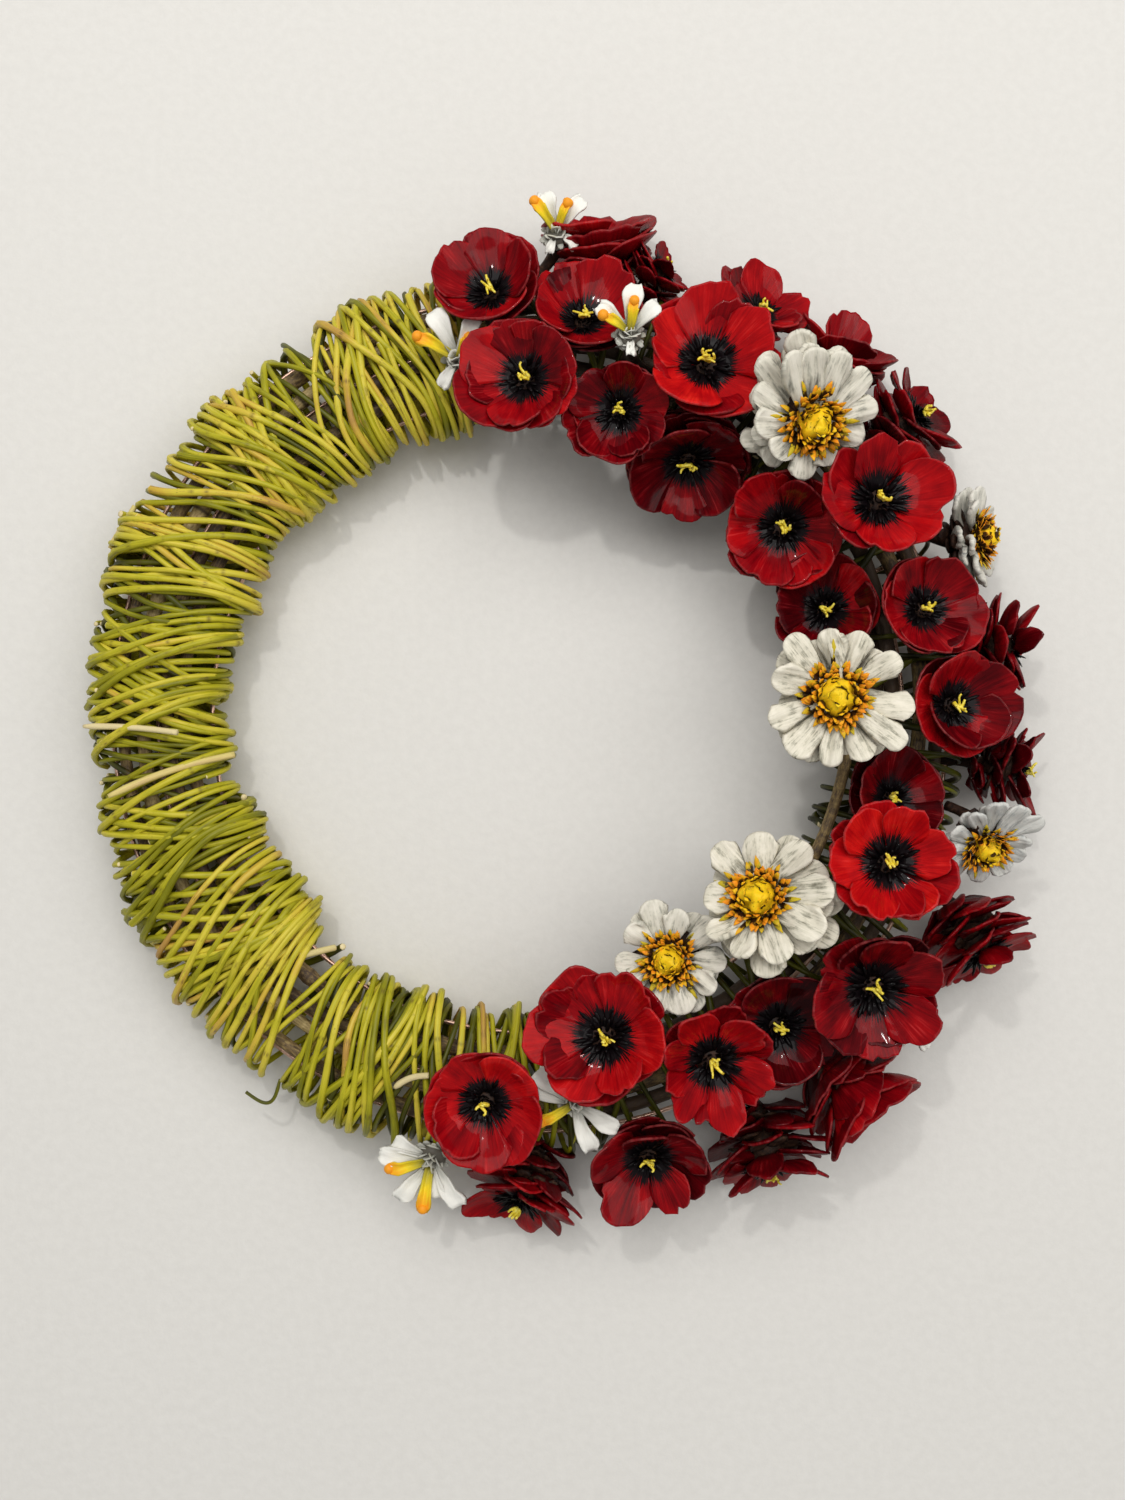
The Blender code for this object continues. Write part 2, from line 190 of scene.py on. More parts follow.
def waves(rng, count=5, fastest=1.0):
    """A smooth uneven height over two directions, mostly between -1 and 1."""
    turns = rng.uniform(0, TAU, count)
    speeds = rng.uniform(0.4, 1, count) * fastest
    starts = rng.uniform(0, TAU, count)

    def height(x, y):
        total = 0
        for turn, speed, start in zip(turns, speeds, starts):
            total = total + np.sin(speed * (x * math.cos(turn) + y * math.sin(turn)) + start)
        return total / math.sqrt(count)

    return height


# %% [markdown]
# ## Short ways to write a finish
#
# Each finish is one Principled shader with noise behind its colour, roughness and bump.
# The nodes could be placed by hand, but the same few kinds come back in every finish,
# so a small class gives them short names.

# %% A finish and its nodes
class Finish:
    """One material, and short ways to add the nodes behind it."""

    def __init__(self, name, **sockets):
        self.material = bpy.data.materials.new(name)
        self.material.use_nodes = True
        self.tree = self.material.node_tree
        self.shader = self.tree.nodes["Principled BSDF"]
        for socket, value in sockets.items():
            self.join(value, self.shader.inputs[socket.replace("_", " ")])

    def join(self, value, socket):
        """Link an output to a socket, or set the socket to a number or colour."""
        if isinstance(value, bpy.types.NodeSocket):
            self.tree.links.new(value, socket)
        elif socket.type == "RGBA":
            socket.default_value = (*value, 1)
        else:
            socket.default_value = value

    def node(self, kind, inputs, output=0, **settings):
        """Add a node with these settings and inputs, and give one output."""
        made = self.tree.nodes.new("ShaderNode" + kind)
        for setting, value in settings.items():
            setattr(made, setting, value)
        for socket, value in inputs.items():
            self.join(value, made.inputs[socket])
        return made.outputs[output]

    def read(self, name):
        """A value that the shape keeps beside its points."""
        output = "Vector" if VALUES[name] == 3 else "Fac"
        return self.node("Attribute", {}, output, attribute_name=name)

    def spot(self):
        """The place on the object in mm."""
        place = self.node("TexCoord", {}, "Object")
        return self.stretch(place, (1000, 1000, 1000))

    def stretch(self, vector, by):
        """A vector multiplied part by part."""
        return self.node("VectorMath", {0: vector, 1: by}, operation="MULTIPLY")

    def sum(self, a, b, operation="ADD"):
        """Two numbers worked together."""
        return self.node("Math", {0: a, 1: b}, operation=operation)

    def noise(self, vector, scale, detail=3, rough=0.55):
        """Cloudy noise, mostly from 0.3 to 0.7."""
        inputs = {"Vector": vector, "Scale": scale, "Detail": detail, "Roughness": rough}
        return self.node("TexNoise", inputs)

    def span(self, value, low, high, to_low=0.0, to_high=1.0):
        """A value mapped from one span to another and held inside it."""
        inputs = {0: value, 1: low, 2: high, 3: to_low, 4: to_high}
        return self.node("MapRange", inputs)

    def grain(self, place, by, detail=3, rough=0.55):
        """Cloudy noise that is drawn out along a petal or a rod."""
        return self.noise(self.stretch(place, by), 1, detail, rough)

    def stir(self, value, cloud, by):
        """A value moved up and down by cloudy noise."""
        return self.sum(value, self.span(cloud, 0.3, 0.7, -by, by))

    def ramp(self, value, stops):
        """A colour picked along a row of (position, colour)."""
        made = self.tree.nodes.new("ShaderNodeValToRGB")
        row = made.color_ramp.elements
        for position, _ in stops[2:]:
            row.new(position)
        for element, (position, colour) in zip(row, stops):
            element.position = position
            element.color = (*colour, 1)
        self.join(value, made.inputs[0])
        return made.outputs[0]

    def mix(self, share, a, b):
        """One colour going over to another."""
        return self.node("Mix", {0: share, 6: a, 7: b}, 2, data_type="RGBA")

    def bump(self, height, strength, deep):
        """Small relief on the surface, deep given in mm."""
        inputs = {"Height": height, "Strength": strength, "Distance": deep * MM}
        self.join(self.node("Bump", inputs), self.shader.inputs["Normal"])

    def use(self, **sockets):
        """Join outputs to the shader's sockets."""
        for socket, value in sockets.items():
            self.join(value, self.shader.inputs[socket.replace("_", " ")])


# %% [markdown]
# ## Finishes
#
# Fresh willow bark is smooth and satin, from olive to yellow green, with fine streaks
# along the rod, small pores, and a brown scar at each bud. A cut end is cream. The
# colour comes from a ramp that is moved by the rod's own tone and by noise. The tone
# also holds painted shade: it is lower for the inner and deep rods and under the flowers.

# %% Willow bark
willow_bark = Finish("willow_bark", Specular_IOR_Level=0.30)
rod_place = willow_bark.read("place")
cloud = willow_bark.grain(rod_place, (0.10, 0.022, 1), 3)
streak = willow_bark.grain(rod_place, (1.3, 0.06, 1), 4)
tone = willow_bark.stir(willow_bark.read("tone"), cloud, 0.2)
tone = willow_bark.stir(tone, streak, 0.08)
bark = willow_bark.ramp(tone, [
    (0.0, (0.018, 0.019, 0.001)),
    (0.22, (0.080, 0.083, 0.002)),
    (0.42, (0.230, 0.222, 0.004)),
    (0.62, (0.450, 0.408, 0.014)),
    (0.78, (0.640, 0.535, 0.050)),
    (0.90, (0.580, 0.390, 0.045)),
    (1.0, (0.460, 0.260, 0.060)),
])
pores = willow_bark.node("TexVoronoi", {
    "Vector": willow_bark.stretch(rod_place, (0.55, 0.22, 1)), "Scale": 1}, "Distance")
bark = willow_bark.mix(willow_bark.span(pores, 0.05, 0.16, 0.55, 0), bark, (0.09, 0.055, 0.015))
grime = willow_bark.grain(rod_place, (0.4, 0.13, 1), 5, 0.7)
bark = willow_bark.mix(willow_bark.span(grime, 0.57, 0.72, 0, 0.6), bark, (0.12, 0.066, 0.016))
scar = willow_bark.sum(willow_bark.span(willow_bark.read("mark"), 0.15, 1.6, 0.6, 0),
                       willow_bark.span(streak, 0.46, 0.56), "MULTIPLY")
bark = willow_bark.mix(scar, bark, (0.075, 0.035, 0.012))
bark = willow_bark.mix(willow_bark.read("edge"), bark, (0.78, 0.66, 0.38))
willow_bark.use(Base_Color=bark, Roughness=willow_bark.span(grime, 0.3, 0.7, 0.34, 0.55))
willow_bark.bump(willow_bark.sum(streak, willow_bark.read("edge")), 0.5, 0.35)

# %% [markdown]
# The sticks inside the winding are older. Their bark is dull grey brown with pale
# flecks, and it is given a lower tone on the half under the flowers, which is painted
# shade. The wire under them has a thin copper coat, which is duller in patches.

# %% Brown stick bark and copper wire
stick_bark = Finish("stick_bark")
stick_place = stick_bark.read("place")
flecks = stick_bark.grain(stick_place, (0.7, 0.25, 1), 6, 0.7)
broad = stick_bark.grain(stick_place, (0.2, 0.03, 1), 2)
tone_and_shade = stick_bark.stir(stick_bark.read("tone"), broad, 0.1)
stick = stick_bark.ramp(stick_bark.sum(flecks, tone_and_shade), [
    (0.30, (0.055, 0.030, 0.014)),
    (0.48, (0.240, 0.160, 0.060)),
    (0.60, (0.420, 0.310, 0.120)),
    (0.75, (0.560, 0.450, 0.230)),
])
stick = stick_bark.mix(stick_bark.span(stick_bark.read("mark"), 0.3, 1.4, 0.8, 0), stick,
                       (0.045, 0.024, 0.012))
stick = stick_bark.mix(stick_bark.read("edge"), stick, (0.60, 0.44, 0.24))
stick_bark.use(Base_Color=stick, Roughness=stick_bark.span(flecks, 0.3, 0.7, 0.5, 0.8))
stick_bark.bump(flecks, 0.7, 0.5)

copper = Finish("copper_wire", Metallic=0.9)
dull = copper.noise(copper.spot(), 0.35, 4, 0.65)
copper.use(Base_Color=copper.ramp(dull, [
    (0.35, (0.62, 0.36, 0.26)),
    (0.55, (0.78, 0.52, 0.40)),
    (0.70, (0.40, 0.22, 0.14)),
]), Roughness=copper.span(dull, 0.35, 0.7, 0.22, 0.5))
copper.bump(dull, 0.3, 0.1)

# %% [markdown]
# The poppies are cone petals under thick gloss paint, from bright red to maroon. The
# rows lower down, the backs of the petals and the parts near the heart get a lower tone,
# which is painted shade. The brush leaves fine strokes that run outwards, with pale pink
# patches along them that are partly dry-brushed paint and partly painted highlight. The
# rim shows a thin pale line where the paint has pulled back, and the middle is painted
# black with a feathered edge.

# %% Poppy paint
poppy_paint = Finish("poppy_paint", Coat_Weight=0.18, Coat_Roughness=0.08,
                     Specular_IOR_Level=0.03)
petal_place = poppy_paint.read("place")
stroke = poppy_paint.grain(petal_place, (0.85, 0.075, 1), 5, 0.6)
patch = poppy_paint.grain(petal_place, (0.10, 0.08, 1), 2)
red_tone = poppy_paint.stir(poppy_paint.read("tone"), stroke, 0.10)
red_tone = poppy_paint.stir(red_tone, patch, 0.14)
red = poppy_paint.ramp(red_tone, [
    (0.0, (0.022, 0.0003, 0.0012)),
    (0.28, (0.090, 0.0006, 0.0028)),
    (0.52, (0.240, 0.0012, 0.0042)),
    (0.78, (0.450, 0.0035, 0.0055)),
    (1.0, (0.680, 0.0120, 0.0090)),
])
# Pale pink patches along the strokes: partly dry-brushed paint, partly painted highlight.
rubbed_and_highlight = poppy_paint.sum(poppy_paint.span(stroke, 0.56, 0.70), poppy_paint.span(patch, 0.5, 0.66),
                         "MULTIPLY")
red = poppy_paint.mix(poppy_paint.sum(rubbed_and_highlight, 0.22, "MULTIPLY"), red, (0.60, 0.09, 0.09))
worn = poppy_paint.noise(petal_place, 0.35, 3)
rim = poppy_paint.stir(poppy_paint.read("edge"), worn, 0.12)
red = poppy_paint.mix(poppy_paint.span(rim, 0.90, 1.05, 0, 0.45), red, (0.34, 0.055, 0.055))
feather = poppy_paint.grain(petal_place, (1.1, 0.08, 1), 3, 0.6)
heart = poppy_paint.stir(poppy_paint.read("mark"), feather, 0.13)
heart = poppy_paint.span(heart, 0.415, 0.445, 1, 0)
red = poppy_paint.mix(heart, red, (0.006, 0.004, 0.005))
poppy_paint.use(Base_Color=red, Roughness=poppy_paint.span(stroke, 0.3, 0.7, 0.3, 0.6))
poppy_paint.bump(poppy_paint.sum(stroke, worn), 0.55, 0.6)

# %% [markdown]
# The heart of a poppy is the cone's own tip: small scales under black gloss. The last
# few hairs of the cone are left yellow. The back of the cone stays dark brown.

# %% Heart, tuft and cone back
heart_black = Finish("heart_black", Coat_Weight=0.10, Coat_Roughness=0.08,
                     Specular_IOR_Level=0.06)
soot = heart_black.noise(heart_black.spot(), 0.6, 4)
heart_black.use(Base_Color=heart_black.ramp(soot, [(0.4, (0.0015, 0.0012, 0.0015)),
                                                   (0.75, (0.007, 0.004, 0.005))]),
                Roughness=heart_black.span(soot, 0.35, 0.65, 0.28, 0.55))
heart_black.bump(soot, 0.6, 0.5)

tuft_yellow = Finish("tuft_yellow")
dab = tuft_yellow.noise(tuft_yellow.spot(), 0.7, 3)
tuft_yellow.use(Base_Color=tuft_yellow.ramp(dab, [
    (0.32, (0.34, 0.22, 0.01)),
    (0.44, (0.80, 0.62, 0.02)),
    (0.66, (0.90, 0.80, 0.16)),
]), Roughness=tuft_yellow.span(dab, 0.3, 0.7, 0.4, 0.6))
tuft_yellow.bump(dab, 0.5, 0.3)

cone_brown = Finish("cone_brown", Specular_IOR_Level=0.2)
husk = cone_brown.noise(cone_brown.spot(), 0.45, 5, 0.65)
cone_brown.use(Base_Color=cone_brown.ramp(husk, [
    (0.35, (0.010, 0.005, 0.004)),
    (0.55, (0.040, 0.018, 0.011)),
    (0.75, (0.110, 0.055, 0.030)),
]), Roughness=cone_brown.span(husk, 0.3, 0.7, 0.45, 0.75))
cone_brown.bump(husk, 0.7, 0.6)

# %% [markdown]
# The daisies have a thin coat of off-white paint. The dark cone shows through as
# grey-green streaks, mostly near the foot of each petal. On the rows behind the front one
# these streaks are made stronger, which is painted shade. Their middles are dabbed
# yellow and orange on the tips of the scales only, so dark gaps stay between them.

# %% White paint and the daisy's middle
white_paint = Finish("white_paint", Specular_IOR_Level=0.25)
white_place = white_paint.read("place")
bristle = white_paint.grain(white_place, (1.1, 0.10, 1), 5, 0.65)
smudge = white_paint.grain(white_place, (0.28, 0.16, 1), 4, 0.6)
foot = white_paint.span(white_paint.read("mark"), 0.15, 0.95, 0.13, -0.06)
thin = white_paint.sum(white_paint.sum(bristle, smudge), foot)
chalk = white_paint.ramp(white_paint.span(thin, 0.80, 1.45), [
    (0.0, (0.82, 0.77, 0.65)),
    (0.38, (0.70, 0.66, 0.54)),
    (0.60, (0.40, 0.38, 0.30)),
    (0.86, (0.11, 0.095, 0.065)),
])
chalk = white_paint.mix(white_paint.sum(white_paint.read("tone"), 1, "MULTIPLY"), chalk,
                        (0.50, 0.55, 0.62))
white_paint.use(Base_Color=chalk, Roughness=white_paint.span(bristle, 0.3, 0.7, 0.38, 0.62))
white_paint.bump(white_paint.sum(bristle, smudge), 0.6, 0.5)

crown_paint = Finish("crown_paint", Specular_IOR_Level=0.2)
daub = crown_paint.noise(crown_paint.spot(), 0.55, 4, 0.6)
crown_tone = crown_paint.stir(crown_paint.read("tone"), daub, 0.16)
crown = crown_paint.ramp(crown_tone, [
    (0.0, (0.92, 0.64, 0.012)),
    (0.30, (0.90, 0.50, 0.010)),
    (0.50, (0.86, 0.26, 0.010)),
    (0.70, (0.74, 0.42, 0.012)),
    (0.90, (0.55, 0.42, 0.020)),
])
bare = crown_paint.stir(crown_paint.read("mark"), daub, 0.2)
crown = crown_paint.mix(crown_paint.span(bare, 0.44, 0.62, 0.97, 0), crown, (0.020, 0.006, 0.004))
crown_paint.use(Base_Color=crown, Roughness=crown_paint.span(daub, 0.3, 0.7, 0.35, 0.6))
crown_paint.bump(daub, 0.6, 0.5)

# %% [markdown]
# The small flowers have white straps and a few yellow ones whose knobs are dipped in
# orange. One finish serves both: the tone says which, and the mark runs from 0 at the
# foot to 1 at the knob.

# %% Strap paint
strap_paint = Finish("strap_paint", Specular_IOR_Level=0.25)
strap_place = strap_paint.read("place")
drag = strap_paint.grain(strap_place, (0.9, 0.12, 1), 5, 0.65)
strap_mark = strap_paint.stir(strap_paint.read("mark"), drag, 0.12)
strap_white = strap_paint.ramp(strap_mark, [
    (0.02, (0.11, 0.10, 0.08)),
    (0.22, (0.42, 0.42, 0.37)),
    (0.45, (0.74, 0.73, 0.67)),
    (0.80, (0.86, 0.85, 0.79)),
])
strap_gold = strap_paint.ramp(strap_mark, [
    (0.05, (0.12, 0.10, 0.03)),
    (0.28, (0.50, 0.43, 0.04)),
    (0.60, (0.86, 0.66, 0.02)),
    (0.92, (0.90, 0.34, 0.015)),
])
strap = strap_paint.mix(strap_paint.read("tone"), strap_white, strap_gold)
strap_paint.use(Base_Color=strap, Roughness=strap_paint.span(drag, 0.3, 0.7, 0.35, 0.6))
strap_paint.bump(drag, 0.6, 0.5)
print("finishes", [material.name for material in bpy.data.materials][:12])

# %% [markdown]
# ## The wire ring
#
# The wreath starts as a bought ring of coppered wire: three hoops, with short ties
# across them. It shows as small bright bits between the rods. A hoop is a closed tube.
# Its size is read from the solid's box, so it lies where the solid lies.

# %% Hoops and ties
WIRE = 1.1
HOOP_STEPS = 150
TIES = 8
TIE_STEPS = 13
SIDE_HOOPS_UP = 18.4
outer_reach = (wire_high.x - wire_low.x) / MM / 2 - WIRE
top_hoop_up = wire_high.z / MM - WIRE
hoops = [(2 * RING - outer_reach, SIDE_HOOPS_UP), (RING, top_hoop_up),
         (outer_reach, SIDE_HOOPS_UP)]


def on_ring(angle, reach, height):
    """Points at these angles and distances from the ring's middle."""
    angle, reach, height = np.broadcast_arrays(angle, reach, height)
    return np.stack((reach * np.cos(angle), reach * np.sin(angle), height), -1)


wires = Shape()
hoop_turn = np.arange(HOOP_STEPS) / HOOP_STEPS * TAU
for reach, height in hoops:
    wires.add(*tube(on_ring(hoop_turn, reach, height), np.full(HOOP_STEPS, WIRE),
                    (0, 0, 1), 8, closed=True))
for k in range(TIES):
    angle = TAU * (k + 0.5) / TIES
    share = np.linspace(0, 1, TIE_STEPS)
    tie_out = hoops[0][0] + (hoops[2][0] - hoops[0][0]) * share
    tie_up = SIDE_HOOPS_UP + (top_hoop_up - SIDE_HOOPS_UP) * np.sin(share * math.pi) ** 1.5
    tie_wire = np.full(TIE_STEPS, WIRE * 0.85)
    wires.add(*tube(on_ring(angle, tie_out, tie_up), tie_wire, (0.1, 0.1, 1), 7))
wires.build("copper_ring", [copper], "copper_wire", "wire_frame")
print("hoops at", [(round(r, 1), round(h, 1)) for r, h in hoops])

# %% [markdown]
# ## Running sticks
#
# Four brown sticks lie on the wire and fill the ring out. A real stick is never an even
# hoop: it wanders a little, swells at each knot and goes from thick to thin. So each is
# a tube whose radius and path are moved by slow waves, round the middle line of its
# own solid.

# %% Sticks with knots
STICK_STEPS = 260
STICK_SIDES = 12
STICK = 3.3
SOLID_STICK = 4.4
KNOTS = 20
STICK_TONES = (-0.10, -0.14, 0.06, -0.06)
for number in range(1, 5):
    rng = np.random.default_rng(40 + number)
    low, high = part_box(f"core_rod_{number}")
    reach = (high.x - low.x) / MM / 2 - SOLID_STICK
    height = (low.z + high.z) / MM / 2
    turn = np.arange(STICK_STEPS) / STICK_STEPS * TAU
    bend = waves(rng, 6, 9)
    wander_out = 1.7 * bend(np.cos(turn), np.sin(turn))
    wander_up = 0.7 * bend(np.sin(turn) + 3, np.cos(turn)) - 0.6
    path = on_ring(turn, reach + wander_out, height + wander_up)
    thick = STICK + 0.35 * waves(rng, 5, 6)(np.cos(turn), np.sin(turn) + 5)
    knots = np.zeros(STICK_STEPS)
    knot_gap = np.full(STICK_STEPS, 9.0)
    for at in np.cumsum(rng.integers(11, 22, KNOTS)):
        half = STICK_STEPS // 2
        away = np.abs((np.arange(STICK_STEPS) - at + half) % STICK_STEPS - half)
        knots += 0.75 * np.exp(-(away / 0.8) ** 2)
        knot_gap = np.minimum(knot_gap, away * 4.2)
    points, faces = tube(path, thick + knots, (0, 0, 1), STICK_SIDES, closed=True)
    around = np.tile(np.abs(np.arange(STICK_SIDES) - STICK_SIDES / 2) * 2.0, STICK_STEPS)
    away = np.repeat(np.abs(turn - math.pi) * reach, STICK_SIDES)
    sticks = Shape()
    # Painted shade: the stick's tone is lowered on the half that lies under the flowers.
    shaded = np.where(np.cos(turn - math.radians(5)) > 0, -0.2, 0.0)
    sticks.add(points, faces, mark=np.repeat(knot_gap, STICK_SIDES),
               tone=np.repeat(STICK_TONES[number - 1] + shaded, STICK_SIDES),
               place=np.stack((around, away, np.full_like(away, number * 31.0)), -1))
    sticks.build(f"brown_stick_{number}", [stick_bark], "brown_rod", f"core_rod_{number}")
print("sticks", number, "thick in mm", (2 * thick.min()).round(1), (2 * thick.max()).round(1))

# %% [markdown]
# ## The willow winding
#
# Each rod is a yearling shoot, 2 to 4 mm thick, wound tightly round the section: across
# the front, round the inner edge, and back behind. Rods lie on the rods that were wound
# before. To get that without a simulation, a height map is kept over the surface of the
# section. A new rod rests on the highest thing under it, its line is smoothed because
# willow is stiff, and then it is stamped into the map. The real winding isn't even, so
# the bare half swells a little at its edges by two short tables.

# %% The section that the rods are wound on
HALF_WIDE = 25.0
HALF_DEEP = 15.0
LEVEL = 24.5
ROUNDNESS = 2.35
CELL = 1.0

lap = np.linspace(0, TAU, 1441)
cosine, sine = np.cos(lap), np.sin(lap)
lap_out = HALF_WIDE * np.sign(cosine) * np.abs(cosine) ** (2 / ROUNDNESS)
lap_up = HALF_DEEP * np.sign(sine) * np.abs(sine) ** (2 / ROUNDNESS)
lap_length = np.concatenate(((0,), np.cumsum(np.hypot(np.diff(lap_out), np.diff(lap_up)))))
PERIMETER = lap_length[-1]
lap_face = unit(np.stack((np.sign(lap_out) * np.abs(lap_out / HALF_WIDE) ** (ROUNDNESS - 1) / HALF_WIDE,
                          np.sign(lap_up) * np.abs(lap_up / HALF_DEEP) ** (ROUNDNESS - 1) / HALF_DEEP),
                         -1))
ROUND_CELLS = int(PERIMETER / CELL)
RING_CELLS = int(TAU * RING / CELL)
pile = np.zeros((ROUND_CELLS, RING_CELLS))
print("one lap is", round(PERIMETER, 1), "mm, map", pile.shape)

BULGE_AT = np.radians((94, 106, 118, 130, 142, 154, 166, 178, 190, 202, 214, 226, 238, 250, 268))
BULGE_OUT = (2, 4, 3, 1, 3, 8, 2, 1, 1, 4, 5, 7, 7, 6, 2)
BULGE_IN = (4, 8, 6, 6, 1, 5, 2, 0, 2, 7, 11, 3, 1, 5, 5)


def bulge(face_out, angle):
    """How far the winding swells at the outer and inner edge of the bare half, in mm."""
    out = np.interp(angle % TAU, BULGE_AT, BULGE_OUT)
    inner = np.interp(angle % TAU, BULGE_AT, BULGE_IN)
    return np.where(face_out > 0, out, inner) * face_out ** 2


def on_section(lap_share, angle, rise):
    """Points at a height over the section, and which way is out there."""
    length = (lap_share % 1) * PERIMETER
    out = np.interp(length, lap_length, lap_out)
    up = np.interp(length, lap_length, lap_up)
    face_out = np.interp(length, lap_length, lap_face[:, 0])
    face_up = np.interp(length, lap_length, lap_face[:, 1])
    rise = rise + bulge(face_out, angle)
    points = on_ring(angle, RING + out + face_out * rise, LEVEL + up + face_up * rise)
    return points, on_ring(angle, face_out, face_up)


# %% Lay a rod on the pile
REACH_CELLS = 3
PRESSED = 0.86
PILE_SOFT = 8.0
RUN = 22
offset = np.arange(-REACH_CELLS, REACH_CELLS + 1)
patch_round, patch_ring = (grid.ravel() for grid in np.meshgrid(offset, offset, indexing="ij"))


def smooth(values, wide):
    """Values evened out along the rod, with its ends held."""
    reach = int(3 * wide) + 1
    weights = np.exp(-(np.arange(-reach, reach + 1) / wide) ** 2 / 2)
    padded = np.pad(values, reach, mode="edge")
    return np.convolve(padded, weights / weights.sum(), mode="valid")


def rest_on_pile(lap_share, angle, radius):
    """Heights of a rod's middle line over the section. The rod is put in the map a short
    run at a time, so that it lies on its own laps too."""
    stretch = (RING + np.interp((lap_share % 1) * PERIMETER, lap_length, lap_out)) / RING
    rise = np.zeros(len(angle))
    for start in range(0, len(angle), RUN):
        part = slice(start, start + RUN)
        cell_round = np.round((lap_share[part] % 1) * ROUND_CELLS).astype(int)
        cell_ring = np.round((angle[part] % TAU) / TAU * RING_CELLS).astype(int)
        rows = (cell_round[:, None] + patch_round) % ROUND_CELLS
        columns = (cell_ring[:, None] + patch_ring) % RING_CELLS
        away = np.hypot(patch_round, patch_ring * stretch[part][:, None]) * CELL
        half = np.sqrt(np.maximum(radius[part][:, None] ** 2 - away ** 2, 0))
        under = away < radius[part][:, None]
        level = np.where(under, pile[rows, columns] * PRESSED + half, 0).max(axis=1)
        level = np.where(level > PILE_SOFT, PILE_SOFT + (level - PILE_SOFT) * 0.45, level)
        level = np.maximum(smooth(level, 1.6), level - 0.8)
        rise[part] = level
        top = np.where(under, level[:, None] + half, 0)
        np.maximum.at(pile, (rows, columns), top)
    return smooth(rise, 1.5)


# %% [markdown]
# A rod is given by the places where it passes the outer and the inner edge. Between
# them it runs straight. Every 40 to 100 mm it has a bud scar with a small swelling, and
# it tapers from the cut butt to the tip. Both ends are cut clean and show cream wood.

# %% One rod as a tube
STEP = 4.0
ROD_SIDES = 7
FLOOR_GAP = 0.25


def lay_rod(shape, rng, laps, angles, butt, tip, tone):
    """Wind one rod through the given laps and angles, and add it to a shape."""
    span = np.hypot(np.diff(laps) * PERIMETER * 1.2, np.diff(angles) * RING)
    length = np.concatenate(((0,), np.cumsum(span)))
    count = int(length[-1] / STEP) + 1
    along = np.linspace(0, length[-1], count)
    lap_share = np.interp(along, length, laps)
    angle = smooth(np.interp(along, length, angles), 2.2)
    radius = np.interp(along, (0, length[-1]), (butt, tip))
    rise = rest_on_pile(lap_share, angle, radius)
    bud_gap = np.full(count, 99.0)
    swell = np.zeros(count)
    at = int(rng.integers(3, 9))
    while at < count:
        away = np.abs(np.arange(count) - at)
        bud_gap = np.minimum(bud_gap, away * STEP)
        swell += rng.uniform(0.08, 0.24) * np.exp(-(away / 0.6) ** 2)
        at += int(rng.integers(10, 26))
    wobble = waves(rng, 5, 0.09)
    angle = angle + 0.9 * wobble(along, 0) / RING
    rise = rise + 0.35 * wobble(along, 40)
    rise[:3] += (1.5, 0.8, 0.3)
    bow = np.cos(TAU * lap_share * 2) ** 6 * np.clip(wobble(along * 0.9, 9), 0, 1)
    rise = rise + 3.2 * bow
    path, face = on_section(lap_share, angle, rise)
    radius = radius * (1 + swell + 0.06 * wobble(along * 3, 80))
    path[:, 2] = np.maximum(path[:, 2], radius + FLOOR_GAP)
    path = np.concatenate((path[:1], path, path[-1:]))
    ahead = unit(path[2] - path[1]) * 0.5
    behind = unit(path[-2] - path[-3]) * 0.5
    path[0] -= ahead
    path[-1] += behind
    radius = np.concatenate((radius[:1] * 0.9, radius, radius[-1:] * 0.8))
    face = np.concatenate((face[:1], face, face[-1:]))
    points, faces = tube(path, radius, face, ROD_SIDES)
    cut = np.zeros(count + 2)
    cut[[0, -1]] = 1
    away = np.concatenate(((0,), along, along[-1:]))
    around = np.tile(np.abs(np.arange(ROD_SIDES) - ROD_SIDES / 2) * 1.6, count + 2)
    place = np.stack((np.concatenate((around, (0, 0))), per_ring(away, ROD_SIDES),
                      np.full(len(points), rng.uniform(0, 900))), -1)
    shade = tone + 0.05 * wobble(away * 0.4, 120)
    marks = np.concatenate(((9,), bud_gap, (9,)))
    shape.add(points, faces, tone=per_ring(shade, ROD_SIDES), edge=per_ring(cut, ROD_SIDES),
              mark=per_ring(marks, ROD_SIDES), place=place)


# %% [markdown]
# The winder works along the ring in groups: a few turns side by side with one lean,
# then a gap and a new lean. The two layers run round in opposite ways, so they cross,
# and the brown sticks and a little of the wall show through the gaps.

# %% Wind one layer
OUTER_EDGE, INNER_EDGE = 0.0, 0.5


def wind(sectors, rng, begin, finish, pitch, lean, way, tones):
    """Wind rods from one angle to another. Sectors gives the shape for an angle."""
    angle = begin
    laid = 0
    tilt = 0.0
    while angle < finish:
        turns = int(rng.integers(4, 8))
        laps, angles = [], []
        butt = rng.uniform(1.35, 1.85)
        first_lap = rng.uniform(0, 0.2)
        for turn in range(turns):
            if rng.random() < 0.34:
                tilt = rng.uniform(-lean, lean)
                angle += rng.uniform(0.1, 1.2) * pitch / RING
            laps += [turn + OUTER_EDGE, turn + INNER_EDGE]
            angles += [angle + rng.normal(0, 0.9) / RING,
                       angle + (tilt + rng.normal(0, 2.2)) / RING]
            angle += pitch * rng.uniform(0.7, 1.15) / RING
        laps = np.array(laps) + first_lap
        laps = laps if way > 0 else -laps
        shape = sectors(angles[0])
        tone = rng.normal(*tones(angles[0]))
        if rng.random() < 0.12 and tones(angles[0])[0] > 0.3:
            tone = rng.uniform(0.70, 0.84)
        lay_rod(shape, rng, laps, np.array(angles), butt, rng.uniform(1.0, 1.2),
                float(np.clip(tone, 0.05, 0.95)))
        laid += turns
    return laid


